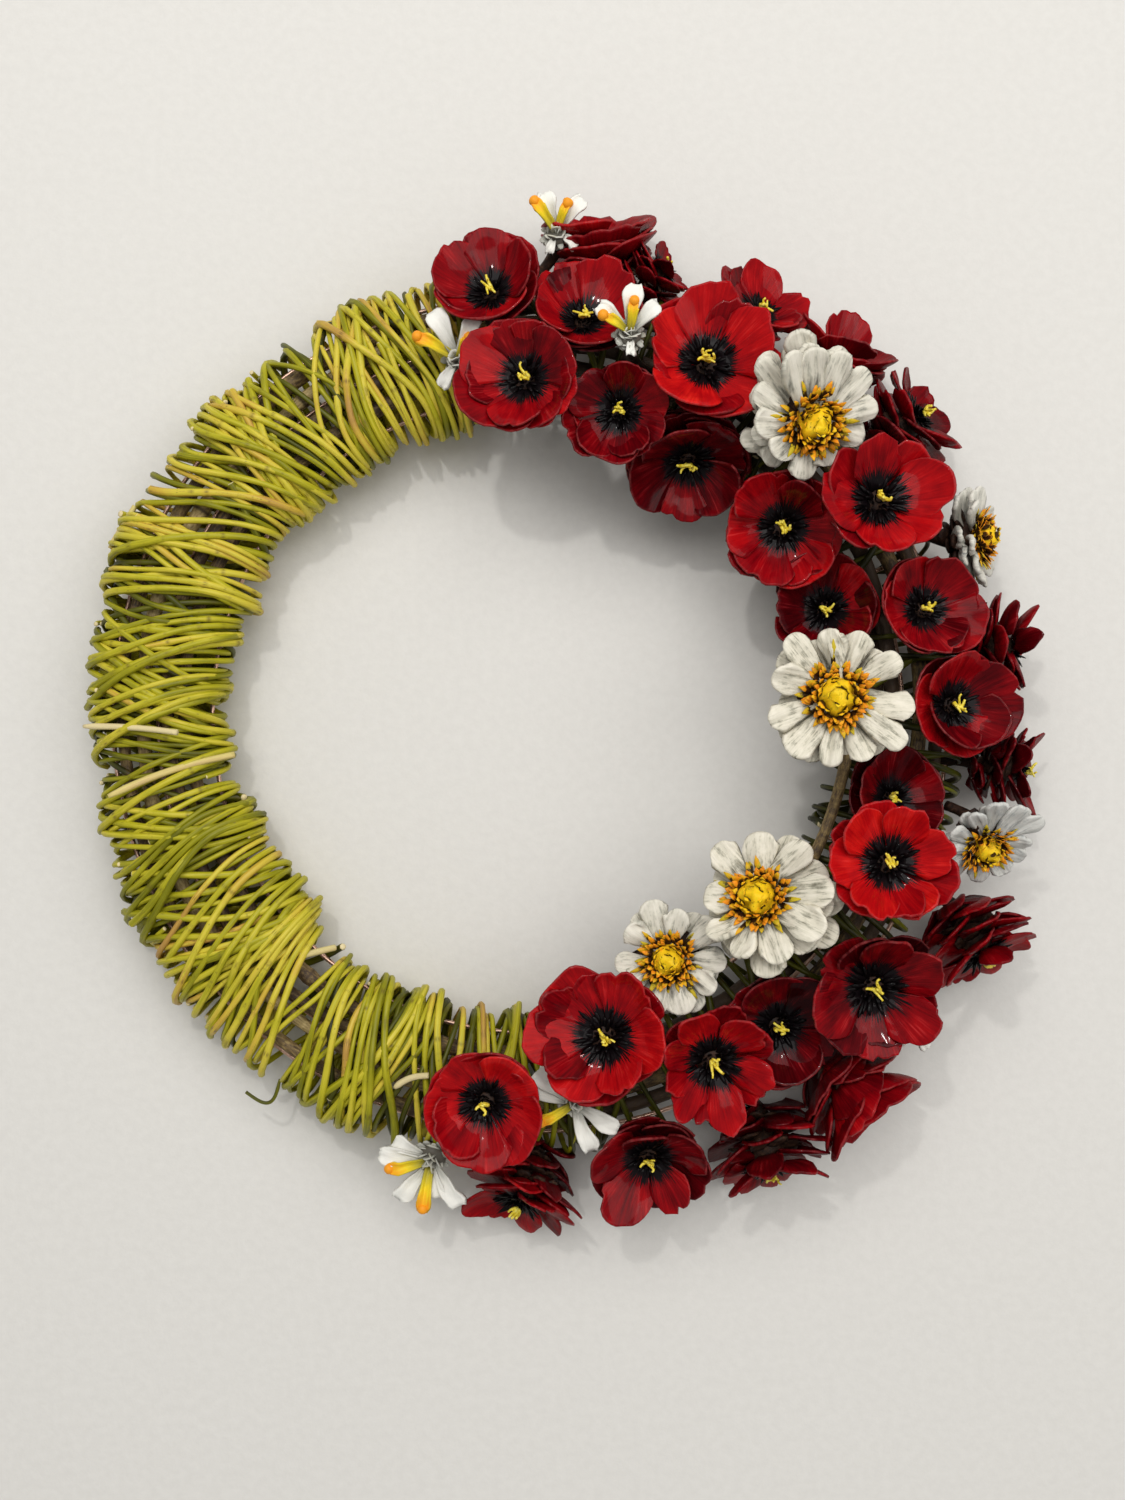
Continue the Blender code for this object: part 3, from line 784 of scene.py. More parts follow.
# %% Inner layer, all the way round
# The pitch of the turns and how far they may lean, in mm: for the inner layer on the bare
# half and under the flowers, and for the outer layer. Then the butt and the tip of the
# deep and the crossing rods.
INNER_PITCH, INNER_LEAN = 7.2, 26
COVERED_PITCH, COVERED_LEAN = 10.5, 12
OUTER_PITCH, OUTER_LEAN = 7.6, 38
LONG_BUTT, LONG_TIP = 1.8, 1.2
INNER_PARTS, OUTER_PARTS = 7, 5
OUTER_FROM, OUTER_TO = math.radians(103), math.radians(267)
inner_shapes = [Shape() for _ in range(INNER_PARTS)]
outer_shapes = [Shape() for _ in range(OUTER_PARTS)]


def inner_sector(angle):
    """The inner layer's shape at an angle."""
    return inner_shapes[int((angle % TAU) / TAU * INNER_PARTS) % INNER_PARTS]


def outer_sector(angle):
    """The outer layer's shape at an angle."""
    share = (angle - OUTER_FROM) / (OUTER_TO - OUTER_FROM)
    return outer_shapes[min(max(int(share * OUTER_PARTS), 0), OUTER_PARTS - 1)]


def inner_tones(angle):
    """Tone and its spread, lowered as painted shade: below the outer layer's on the bare half, and
    further where the flowers cover the rods.
    """
    bare = OUTER_FROM - 0.1 < angle % TAU < OUTER_TO + 0.1
    return (0.42, 0.16) if bare else (0.14, 0.05)


def outer_tones(angle):
    """Greener towards the bottom of the ring, more yellow towards the top."""
    share = (angle - OUTER_FROM) / (OUTER_TO - OUTER_FROM)
    return 0.60 - 0.08 * share, 0.13


rng = np.random.default_rng(7)
# The deep rods go in first, under all the rest, with a low tone that is painted shade.
DEEP_RODS = 26
for k in range(DEEP_RODS):
    start = TAU * (k + rng.uniform(0.1, 0.9)) / DEEP_RODS
    laps = np.arange(0, 2.01, 0.5) + rng.uniform(0, 1)
    lean = rng.choice((-1, 1)) * rng.uniform(30, 52)
    angles = start + np.array((0, 1, 1.3, 2.2, 2.6)) * lean / RING
    lay_rod(inner_sector(start), rng, laps, angles, LONG_BUTT, LONG_TIP, rng.uniform(0.05, 0.26))
turns = wind(inner_sector, rng, OUTER_FROM - 0.08, OUTER_TO + 0.06, INNER_PITCH, INNER_LEAN, 1,
             inner_tones)
turns += wind(inner_sector, rng, OUTER_TO + 0.08, OUTER_FROM - 0.1 + TAU, COVERED_PITCH,
              COVERED_LEAN, 1, inner_tones)
print("inner layer turns", turns)

# %% Outer layer and crossing rods, over the bare half
CROSSING = 40
turns = wind(outer_sector, rng, OUTER_FROM - 0.01, OUTER_TO - 0.03, OUTER_PITCH, OUTER_LEAN, -1,
             outer_tones)
for k in range(CROSSING):
    start = OUTER_FROM + (OUTER_TO - OUTER_FROM) * (k + rng.uniform(0.1, 0.9)) / (CROSSING + 1)
    lean = rng.choice((-1, 1)) * rng.uniform(18, 48)
    laps = np.arange(0, 3.01, 0.5) + rng.uniform(-0.1, 0.1)
    angles = start + np.array((0, lean, 0.3 * lean, 1.1 * lean, 0.5 * lean, 1.3 * lean,
                               0.7 * lean)) / RING
    angles = np.clip(angles, OUTER_FROM - 0.02, OUTER_TO + 0.02)
    lay_rod(outer_sector(start), rng, laps, angles, LONG_BUTT, LONG_TIP,
            float(rng.normal(0.66, 0.09)))
print("outer layer turns", turns, "crossing rods", CROSSING)

# %% [markdown]
# A few odd ends lie on the winding: a peeled cream stick, a tan strip, cut stubs and thin
# curls. They are straight or nearly so, and rest on the highest rods under them. On the
# inner edge of the flowered half one older rod with brown bark runs along the ring.

# %% Odd ends
ODD_STEPS, ODD_SIDES = 24, 8


def pile_top(x, y):
    """Height of the winding's front under a place, in mm over the wall."""
    out = np.clip(np.hypot(x, y) - RING, -HALF_WIDE, HALF_WIDE)
    half = len(lap_out) // 2 + 1
    length = np.interp(-out, -lap_out[:half], lap_length[:half])
    angle = np.arctan2(y, x) % TAU
    rows = (length / PERIMETER * ROUND_CELLS).astype(int) % ROUND_CELLS
    columns = (angle / TAU * RING_CELLS).astype(int) % RING_CELLS
    face_up = np.interp(length, lap_length, lap_face[:, 1])
    return LEVEL + np.interp(length, lap_length, lap_up) + face_up * pile[rows, columns]


def odd_end(start, finish, thick, tone, peeled, bow):
    """A loose rod from one place to another, resting on the winding."""
    share = np.linspace(0, 1, ODD_STEPS)
    (x0, y0), (x1, y1) = start, finish
    side = np.sin(share * math.pi) * bow
    x = x0 + (x1 - x0) * share - side * (y1 - y0)
    y = y0 + (y1 - y0) * share + side * (x1 - x0)
    level = np.array([pile_top(a, b) for a, b in zip(x[:, None], y[:, None])]).ravel()
    fit = np.polynomial.Polynomial.fit(share, level, 1)
    level = fit(share) + (level - fit(share)).max() * 0.8
    path = np.stack((x, y, level + thick), -1)
    radii = thick * np.interp(share, (0, 0.12, 1), (0.6, 1, 0.9))
    points, faces = tube(path, radii, (0, 0, 1), ODD_SIDES)
    along = share * math.hypot(x1 - x0, y1 - y0)
    around = np.concatenate((np.tile(np.arange(ODD_SIDES) * 1.3, ODD_STEPS), (0, 0)))
    place = np.stack((around, per_ring(along, ODD_SIDES), np.full(len(points), 77.0 * thick)), -1)
    angle = math.atan2(y.mean(), x.mean()) % TAU
    outer_sector(angle).add(points, faces, tone=tone, edge=peeled, mark=9, place=place)


# Where each starts and ends in mm from the ring's middle, its radius, its tone, how far it
# is peeled, and how far it bows.
ODD_ENDS = [
    ((-206, -6), (-159, -9), 1.5, 0.8, 0.9, 0.02), ((-191, -38), (-137, -19), 1.7, 0.85, 0.45, 0.04),
    ((-62, -172), (-46, -166), 1.6, 0.8, 0.9, 0.1), ((-106, -112), (-92, -110), 1.7, 0.8, 0.7, 0.0),
    ((-48, 198), (-36, 202), 1.5, 0.35, 0.0, 0.3), ((-118, -172), (-134, -178), 0.9, 0.3, 0.0, 0.5),
    ((-198, 78), (-186, 98), 1.5, 0.8, 0.5, 0.0),
]
for row in ODD_ENDS:
    odd_end(*row)
print("odd ends", len(ODD_ENDS))

# %% The older rod on the inner edge
BARK_ROD = 2.9
BARK_ROD_UP = 44.5
BARK_ROD_IN = 3
BARK_STEPS, BARK_SIDES = 40, 12
bark_turn = np.radians(np.linspace(-34, 4, BARK_STEPS))
sway = waves(np.random.default_rng(9), 4, 8)(bark_turn, 0)
bark_path = on_ring(bark_turn, RING - HALF_WIDE - BARK_ROD_IN + 0.8 * sway, BARK_ROD_UP + sway)
points, faces = tube(bark_path, BARK_ROD + 0.25 * sway, (0, 0, 1), BARK_SIDES)
bark_around = np.tile(np.abs(np.arange(BARK_SIDES) - BARK_SIDES / 2) * 1.6, BARK_STEPS)
bark_place = np.stack((np.concatenate((bark_around, (0, 0))), per_ring(bark_turn * RING, BARK_SIDES),
                       np.full(len(points), 400.0)), -1)
inner_sector(bark_turn[BARK_STEPS // 2]).add(points, faces, 1, tone=-0.06, mark=9, place=bark_place)
print("bark rod", round((bark_turn[-1] - bark_turn[0]) * RING), "mm long")

# %% Make the willow pieces
faces_total = 0
for k, shape in enumerate(inner_shapes, 1):
    finishes = [willow_bark, stick_bark]
    piece = shape.build(f"inner_willow_{k}", finishes, "green_willow", f"inner_withy_{k}")
    faces_total += len(piece.data.polygons)
for k, shape in enumerate(outer_shapes, 1):
    piece = shape.build(f"outer_willow_{k}", [willow_bark], "green_willow", f"outer_withy_{k}")
    faces_total += len(piece.data.polygons)
print("willow faces", faces_total)

# %% [markdown]
# ## Where the flowers stand
#
# Each flower has its own solid, so its place is read from that. The table says which
# way it leans on the compass and by how much, how it is spun, how many petals it has,
# its kind or its rows, its size and its tone. A poppy also says how far
# its petals stand apart, and both say how far the heart is off the middle. For a small
# flower the lean, the spin and the size are enough. The rim's middle is found from the
# solid's highest points along the flower's axis, and the stalk ends where the solid comes
# nearest to the winding. A few flowers face another way than the top of their solid, and
# LOOKS gives that for them.

# %% The flowers
POPPIES = [
    (110, 20, 10, 5, 1, 25, 0.55, 0.3, (0.10, -0.18)), (60, 72, 50, 4, 4, 27, 0.50, 0.3, (0, 0)),
    (85, 25, 54, 5, 1, 25, 0.52, 0.0, (-0.08, -0.20)), (170, 8, 30, 6, 1, 27, 0.54, 0.1, (0.12, 0)),
    (-100, 10, 20, 6, 1, 24, 0.38, 0.4, (0.05, 0.05)), (20, 68, -49, 5, 3, 19, 0.46, 1.0, (0, 0)),
    (75, 14, 18, 5, 1, 31, 0.76, 0.5, (-0.05, -0.08)), (-95, 42, 40, 5, 4, 27, 0.28, 0.1, (0, 0)),
    (50, 40, 3, 5, 1, 23, 0.55, 0.5, (0.1, -0.1)), (50, 75, -25, 4, 4, 25, 0.52, 0.4, (0, 0)),
    (20, 58, -58, 5, 3, 26, 0.40, 0.8, (0, 0)), (60, 10, 6, 4, 1, 29, 0.72, 1.0, (-0.06, -0.04)),
    (-120, 10, 0, 6, 1, 27, 0.54, 0.1, (0.05, 0.06)), (180, 10, 20, 5, 1, 24, 0.34, 0.0, (0, 0)),
    (30, 10, 45, 5, 1, 24, 0.45, 0.1, (-0.14, 0)), (0, 76, 18, 5, 3, 24, 0.40, 1.0, (0, 0)),
    (0, 18, 10, 4, 1, 26, 0.46, 0.3, (-0.12, 0)), (-10, 72, -18, 5, 3, 23, 0.36, 1.0, (0, 0)),
    (60, 14, 20, 5, 1, 23, 0.28, 0.1, (0, 0)), (100, 8, 5, 6, 1, 29, 0.80, 0.6, (0, 0)),
    (-65, 62, 25, 5, 3, 28, 0.46, 0.9, (0, 0)), (-60, 8, 20, 6, 1, 32, 0.38, 0.6, (0, 0)),
    (-60, 8, 30, 5, 1, 27.5, 0.24, 0.1, (0, 0)), (-90, 6, -10, 6, 1, 29, 0.62, 1.0, (0, 0)),
    (150, 10, 0, 6, 1, 31, 0.66, 0.4, (0.10, -0.02)), (-120, 8, 40, 5, 1, 27, 0.66, 0.2, (0.03, 0.08)),
    (-90, 22, 20, 5, 2, 28, 0.40, 0.7, (0, 0.04)), (-80, 66, -22, 5, 3, 28, 0.50, 0.9, (0, 0)),
    (-80, 66, 8, 5, 3, 29.5, 0.36, 0.9, (0, 0)), (-45, 70, 10, 4, 4, 28, 0.50, 0.4, (0, 0)),
]
LOOKS = {"poppy_02": (95, 66), "poppy_06": (41, 72), "poppy_10": (65, 68), "poppy_11": (32, 63),
         "poppy_28": (-112, 61), "poppy_29": (-80, 63), "white_01": (-60, 28),
         "white_02": (2, 64), "white_04": (140, 28), "white_05": (-75, 42)}
DAISIES = [
    (-70, 20, 0, 11, 3, 31, 0.10, (0.06, -0.26)), (5, 52, 0, 11, 2, 27, 0.25, (0.0, 0)),
    (180, 5, 0, 11, 2, 33, 0.0, (-0.02, 0.02)), (140, 20, 10, 9, 3, 32, 0.0, (-0.14, 0.06)),
    (-80, 32, 0, 12, 2, 26, 0.45, (0.0, -0.1)), (170, 10, 0, 10, 2, 28, 0.12, (0.0, 0)),
]
SMALLS = [(150, 15, 20, 21), (100, 20, 0, 19), (90, 20, 0, 18),
          (-60, 15, 0, 21), (-110, 45, 0, 23), (-40, 60, 0, 12)]

# How far behind its rim a flower is turned when LOOKS faces it another way, in sizes, and
# half the width and depth of the wound section in the solids, in mm.
PIVOT = 0.6
SOLID_HALF_WIDE, SOLID_HALF_DEEP = 34, 23


class Stand:
    """Where one flower stands, from its solid: axes, the rim's middle and the stalk's end."""

    def __init__(self, node, lean_to, lean, spin, size, top, slide=(0, 0), look=None):
        solid_axis = self.lean_over(lean_to, lean, 0)[:, 2]
        self.axes = self.lean_over(*(look or (lean_to, lean)), spin)
        self.axis = self.axes[:, 2]
        self.size = size
        self.slide = np.array((*slide, 0.0)) @ self.axes
        self.slide[2] = 0
        corners = np.array([v.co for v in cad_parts[node].data.vertices]) / MM - CENTRE
        corners = np.unique(corners.round(2), axis=0)
        height = corners @ solid_axis
        highest = corners[height > height.max() - 0.05]
        self.rim = highest.mean(axis=0) - solid_axis * top * size
        self.rim = self.rim + (self.axis - solid_axis) * PIVOT * size
        out = np.hypot(corners[:, 0], corners[:, 1]) - RING
        up = corners[:, 2] - SOLID_HALF_DEEP
        near = (np.abs(out / SOLID_HALF_WIDE) ** ROUNDNESS
                + np.abs(up / SOLID_HALF_DEEP) ** ROUNDNESS)
        self.foot = corners[np.argsort(near)[:5]].mean(axis=0)

    @staticmethod
    def lean_over(lean_to, lean, spin):
        """Axes of a flower that leans to one side of the ring and is spun on its stalk."""
        to = math.radians(lean_to)
        tip = Matrix.Rotation(math.radians(lean), 3, Vector((-math.sin(to), math.cos(to), 0)))
        return np.array(tip @ Matrix.Rotation(math.radians(spin), 3, "Z"))

    def put(self, points, heart=0):
        """Points of the flower's own frame, in parts of its size, placed on the ring.
        Heart says how far each goes along with the heart, which is off the middle."""
        points = np.asarray(points) + np.asarray(heart)[..., None] * self.slide
        return self.rim + (points * self.size) @ self.axes.T


stand = Stand("poppy_07", *POPPIES[6][:3], POPPIES[6][5], 0)
print("poppy_07 rim at", stand.rim.round(1), "foot", stand.foot.round(1))

# %% [markdown]
# ## Petals and scales
#
# A poppy petal is a fan with rounded corners: narrow at the heart, broad and wavy at
# the rim, with a notch or two where the real one is torn. It could be sculpted by hand,
# but thirty flowers are quicker and more varied when each petal is a grid with its own
# waves, cup and curl. All sizes are in parts of the flower's rim radius.

# %% A poppy petal
PETAL_START = 0.16


def poppy_petal(rng, turn, spread, reach, floor, lobe, point, columns, rows):
    """Front of one fan-shaped petal, its edge value, its place in sizes, and how far out."""
    side = np.linspace(-1, 1, columns)[None, :]
    share = (1 - (1 - np.linspace(0, 1, rows)) ** 1.6)[:, None]
    wave, ridge = waves(rng, 5, 3.0), waves(rng, 4, 12.0)
    fall = rng.uniform(0.08, 0.18) + 0.26 * lobe + 0.15 * point
    peak = side - rng.uniform(-0.35, 0.35) * point
    power = 3.6 - 1.3 * lobe - 1.1 * point
    rim = reach * (1 - fall * np.abs(peak) ** power + 0.03 * wave(side * 2.2, 0))
    for _ in range(rng.integers(0, 3)):
        notch = (side - rng.uniform(-0.7, 0.7)) / rng.uniform(0.04, 0.10)
        rim = rim - rng.uniform(0.03, 0.09) * np.exp(-notch ** 2)
    rim = rim + (0.008 + 0.010 * lobe) * waves(rng, 4, 22.0)(side, 0)
    out = PETAL_START + (rim - PETAL_START) * share
    angle = turn + side * spread * (0.62 + 0.38 * np.sqrt(share))
    up = floor * (1 - np.clip(out / reach, 0, 1.1) ** 2.2)
    lift = rng.normal(0.03, 0.02) - 0.10 * lobe
    up = up + lift * side ** 2 * share + 0.065 * side * share
    up = up + 0.028 * wave(side * 1.3, share * 2) * share + 0.009 * ridge(side, share) * share
    up = up + rng.uniform(-0.10, 0.04) * np.clip((share - 0.72) / 0.28, 0, 1) ** 2
    stand_up = max(rng.normal(0.0, 0.14), -0.12)
    up = up + stand_up * share * (1 - 0.5 * np.abs(side))
    out = out * (1 - 0.5 * max(stand_up, 0) * share)
    front = np.stack((out * np.cos(angle), out * np.sin(angle), up), -1)
    edge = np.maximum(np.abs(side) ** 14 * (share > 0.3), share ** 16)
    place = np.stack((angle - turn, out, np.zeros_like(out)), -1)
    return front, edge, place, out


FRONT_GRID, BEHIND_GRID = (17, 10), (15, 9)


def petal_row(shape, stand, rng, petals, offset, spread, reach, floor, lobe, tone, painted,
              lower=0.0, point=0.0):
    """A row of petals round a poppy. Painted says that it is the front one, which has the
    black heart and a finer grid."""
    for k in range(petals):
        turn = TAU * (k + offset) / petals + rng.normal(0, 0.05 + 0.05 * lobe)
        front, edge, place, out = poppy_petal(
            rng, turn, spread * rng.uniform(0.92, 1.1),
            reach * rng.uniform(0.90 - 0.07 * lobe, 1.05), floor, lobe, point,
            *(FRONT_GRID if painted else BEHIND_GRID))
        points, faces = sheet(front, (0.055 - 0.02 * edge) * np.ones(front.shape[:2]))
        points[:, 2] -= lower
        place = place * stand.size + (0, 0, rng.uniform(0, 900))
        # Painted shade: the tone falls towards the heart, deep in the cup, and on the back of each
        # petal.
        shade = tone + rng.normal(0, 0.08) + 0.16 * (out - 0.8)
        middle = np.clip(1 - out, 0, 1)
        shape.add(stand.put(points, both_sides(middle)), faces, 0,
                  tone=both_sides(shade, shade - 0.05), edge=both_sides(edge * (1 - 0.1 * point)),
                  mark=both_sides(out if painted else out + 1, out + 1),
                  place=both_sides(place))


# %% [markdown]
# Cone scales fill the heart of a poppy, the middle of a daisy and the back of both. One
# blunt and one pointed scale are made once and then copied, turned and scaled.

# %% Scales, copied in rings
def make_scale(point, columns=5, rows=5):
    """A scale one long, along +X, with its outer side up, blunt or pointed."""
    side = np.linspace(-1, 1, columns)[None, :]
    share = np.linspace(0, 1, rows)[:, None]
    blunt = 0.30 * np.sin(0.35 + share * 2.45) ** 0.8
    sharp = 0.30 * (0.06 + (1 - share) ** 0.8 * (0.5 + 1.1 * share))
    wide = blunt * (1 - point) + sharp * point
    front = np.stack(np.broadcast_arrays(
        share, side * wide, 0.10 * np.sin(share * 2.6) - 0.12 * side ** 2 * (1 - share)), -1)
    points, faces = sheet(front, (0.10 - 0.05 * point) * np.ones((rows, columns)))
    mark = both_sides(share * np.ones((1, columns)), 0.6 * share * np.ones((1, columns)))
    return points, faces, mark


BLUNT, SCALE_FACES, SCALE_MARK = make_scale(0)
BLADE = make_scale(1)[0]


def put_scale(shape, stand, finish, turn, out, up, rise, long, wide, tone, roll=0.0, mark=1.0,
              kind=BLUNT):
    """One scale that starts at a place in the flower and rises from it by an angle."""
    points = kind * (long, wide, long)
    points = points @ np.array(Matrix.Rotation(roll, 3, "X")).T
    points = points @ np.array(Matrix.Rotation(-rise, 3, "Y")).T
    points = points + (out, 0, up)
    points = points @ np.array(Matrix.Rotation(turn, 3, "Z")).T
    shape.add(stand.put(points, 0.8), SCALE_FACES, finish, tone=tone, mark=SCALE_MARK * mark)


def ring_of_scales(shape, stand, rng, finish, count, out, up, rise, long, wide, tone, spin=0.0,
                   mark=1.0, kind=BLUNT, uneven=0.2):
    """A ring of scales with small differences."""
    for k in range(count):
        put_scale(shape, stand, finish, TAU * (k + spin) / count + rng.normal(0, 0.12),
                  out * rng.uniform(0.85, 1.15), up + rng.normal(0, 0.01),
                  rise + rng.normal(0, 0.7 * uneven), long * rng.uniform(1 - uneven, 1 + uneven),
                  wide * rng.uniform(0.85, 1.2), tone + rng.normal(0, 0.07), rng.normal(0, 0.25),
                  mark, kind)


# %% Stalk and cone back
STALK_STEPS, STALK_SIDES = 10, 9


def stalk(shape, stand, rng, finish, start):
    """The cone's foot from the back of the flower down into the winding."""
    top = stand.rim + stand.axis * start * stand.size
    inward = np.array((*unit(stand.foot[:2]) * RING, LEVEL)) - stand.foot
    end = stand.foot + unit(inward) * 5
    bend = top - stand.axis * 0.45 * np.linalg.norm(end - top)
    share = np.linspace(0, 1, STALK_STEPS)[:, None]
    path = (1 - share) ** 2 * top + 2 * share * (1 - share) * bend + share ** 2 * end
    radii = np.interp(share.ravel(), (0, 0.3, 1), (0.16 * stand.size, 3.0, 2.4))
    radii = radii * (1 + 0.08 * waves(rng, 4, 9)(share.ravel(), 0))
    points, faces = tube(path, radii, (0.31, 0.17, 1), STALK_SIDES)
    shape.add(points, faces, finish)


def cone_back(shape, stand, rng, finish, top, deep, long_by=1.0, mark=1.0):
    """The cone behind the petals: a tapered core with scales round it."""
    share = np.linspace(0, 1, 7)
    radii = stand.size * np.array((0.10, 0.24, 0.30, 0.28, 0.22, 0.16, 0.08))
    core = np.stack((share * 0, share * 0, top - (top - deep) * share), -1)
    points, faces = tube(stand.put(core), radii, stand.axes[:, 0], 12)
    shape.add(points, faces, finish)
    for out, share, long in ((0.18, 0.3, 0.42), (0.16, 0.55, 0.36), (0.12, 0.8, 0.28)):
        ring_of_scales(shape, stand, rng, finish, 8, out, top - (top - deep) * share, -0.25,
                       long * long_by, 0.5 * long_by, 0.0, rng.random(), mark)


# %% [markdown]
# ## Poppies
#
# Each poppy has one open row of petals and a row behind it with a lower tone, which is
# painted shade. A few have a third row, and those that face sideways are stacks of five or
# six rows, pointed or cupped.
# The black heart is a cluster of scales, with five to seven yellow hairs in it.

# %% The heart's yellow hairs
HAIR = 0.8
HAIR_STEPS = 8


def yellow_hairs(shape, stand, rng, finish, floor, count):
    """Thick curved hairs from the middle of the heart."""
    for k in range(count):
        turn, bow = TAU * k / count + rng.uniform(0, 1), rng.uniform(0.2, 1.0)
        long = rng.uniform(0.10, 0.25)
        share = np.linspace(0, 1, HAIR_STEPS)
        out = long * bow * share ** 1.4
        up = floor + 0.12 + long * share * (1 - 0.35 * bow * share)
        sway = 0.04 * np.sin(share * rng.uniform(2, 6) + turn)
        path = np.stack((out * math.cos(turn) + sway, out * math.sin(turn) - sway, up), -1)
        radii = HAIR * rng.uniform(0.8, 1.2) * (1.15 - 0.55 * share)
        points, faces = tube(stand.put(path, 0.8), radii, stand.axes[:, 0], 6)
        shape.add(points, faces, finish)


# %% Build the poppies
# Where the petals start below the rim, for a deep and for a flat flower. Then the rows
# behind the front one by kind: how far each is turned between the petals, its reach, how
# far it lies lower and how much its tone is lowered, which is painted shade. Last the
# rings of scales in the heart: how many, how far out, how steep and how long.
CUP, SAUCER = -0.48, -0.26
OPEN, FULL, POINTED, CUPPED = 1, 2, 3, 4
BEHIND = {
    OPEN: [(0.5, 0.97, 0.14, 0.16)],
    FULL: [(0.5, 0.97, 0.14, 0.16), (0.25, 0.92, 0.32, 0.12)],
    POINTED: [(0.5, 1.02, 0.14, 0.02), (0.25, 1.10, 0.32, 0.0), (0.75, 1.06, 0.50, 0.06),
              (0.1, 0.98, 0.70, 0.06), (0.6, 0.84, 0.92, 0.12)],
    CUPPED: [(0.5, 1.04, 0.16, 0.0), (0.25, 1.02, 0.34, 0.04), (0.75, 0.94, 0.54, 0.08),
             (0.1, 0.80, 0.76, 0.12)],
}
HEART_RINGS = [(5, 0.03, 1.1, 0.13), (9, 0.08, 0.75, 0.18), (13, 0.15, 0.42, 0.22),
               (17, 0.22, 0.20, 0.24)]


def poppy(number, lean_to, lean, spin, petals, kind, size, tone, lobe, slide):
    """One poppy for the node of its number."""
    node = f"poppy_{number:02d}"
    rng = np.random.default_rng(300 + number)
    stand = Stand(node, lean_to, lean, spin, size, 0, slide, LOOKS.get(node))
    shape = Shape()
    half = TAU / petals / 2
    floor, point = (SAUCER, 0.8) if kind == POINTED else (CUP, 0.0)
    wide = half * (1.42 - 0.36 * lobe)
    petal_row(shape, stand, rng, petals, 0, wide, 1.0, floor, lobe, tone, True, 0.0, point)
    for offset, reach, lower, shade_darker in BEHIND[kind]:
        petal_row(shape, stand, rng, petals, offset, wide, reach, floor, lobe, tone - shade_darker,
                  False, lower, point)
    for count, out, rise, long in HEART_RINGS:
        ring_of_scales(shape, stand, rng, 1, count, out, floor + 0.01, rise, long, 0.17, 0,
                       rng.random(), 1.0, BLADE, 0.3)
    yellow_hairs(shape, stand, rng, 2, floor, int(rng.integers(5, 8)))
    deep = 0.42 if kind in (OPEN, FULL) else 0.9
    cone_back(shape, stand, rng, 3, floor + 0.02, floor - deep)
    stalk(shape, stand, rng, 3, floor - deep + 0.06)
    return shape.build(f"painted_{node}", [poppy_paint, heart_black, tuft_yellow, cone_brown],
                       "red_cone", node)


for number, row in enumerate(POPPIES, 1):
    piece = poppy(number, *row)
print("poppies", number, "faces in the last", len(piece.data.polygons))

# %% [markdown]
# ## Daisies
#
# A daisy petal is a long scale with a round end, a little hollow along its middle. The
# middle of the flower is a mound that stands higher than the petals, yellow at the top
# and orange round it, with olive pointed scales outside.

# %% A daisy petal
def daisy_petal(rng, long, wide, start, floor, end_up, columns=13, rows=11):
    """Front of one spoon-shaped petal along +X."""
    side = np.linspace(-1, 1, columns)[None, :]
    share = (1 - (1 - np.linspace(0, 1, rows)) ** 1.3)[:, None]
    width = wide * (0.34 + 0.66 * np.sin(np.clip(share * 1.15, 0, 1) * math.pi / 2) ** 1.6)
    tip = long - wide * 0.85 * (1 - np.sqrt(np.maximum(1 - side ** 2 * 0.985, 0)))
    wave = waves(rng, 5, 3.0)
    out = start + (tip - start) * share
    aside = side * width * (1 + 0.06 * wave(share * 3, side))
    hollow = rng.uniform(-0.11, 0.0)
    up = floor + (end_up - floor) * share ** 1.4 + hollow * side ** 2 * np.sin(share * 2.6 + 0.3)
    up = up + 0.018 * wave(share * 4, side * 2) + 0.006 * np.cos(side * 11 + wave(share * 2, 0))
    up = up - 0.05 * np.clip((share - 0.85) / 0.15, 0, 1) ** 2 * rng.uniform(0, 1)
    front = np.stack(np.broadcast_arrays(out, aside, up), -1)
    place = np.stack(np.broadcast_arrays(aside, out, 0 * out), -1)
    return front, place, share * np.ones_like(side)


def daisy_row(shape, stand, rng, petals, offset, long, wide, floor, end_up, tone, shade_grey=0.0,
              fewer=0.0):
    """A row of white petals, with some left out where the row has fewer."""
    for k in range(petals):
        if rng.random() < fewer:
            continue
        turn = TAU * (k + offset) / petals + rng.normal(0, 0.07)
        front, place, share = daisy_petal(rng, long * rng.uniform(0.82, 1.06),
                                          wide * rng.uniform(0.84, 1.14), 0.2,
                                          floor + rng.normal(0, 0.015) - 0.03 * (k % 2),
                                          end_up + rng.normal(0, 0.055))
        twist = np.array(Matrix.Rotation(rng.normal(0, 0.18), 3, "X")).T
        points, faces = sheet(front, 0.055 + 0.03 * share * (share < 0.99))
        points = points @ twist @ np.array(Matrix.Rotation(turn, 3, "Z")).T
        place = place * stand.size + (0, 0, rng.uniform(0, 900))
        middle = both_sides(1 - share)
        # Painted shade: a row behind the front one gets a shade share that dims its petals.
        shape.add(stand.put(points, middle), faces, 0, tone=tone,
                  mark=both_sides(share - shade_grey, share * 0.4 - shade_grey), place=both_sides(place))


# %% The daisy's middle
MOUND_ROWS, MOUND_SIDES = 12, 26


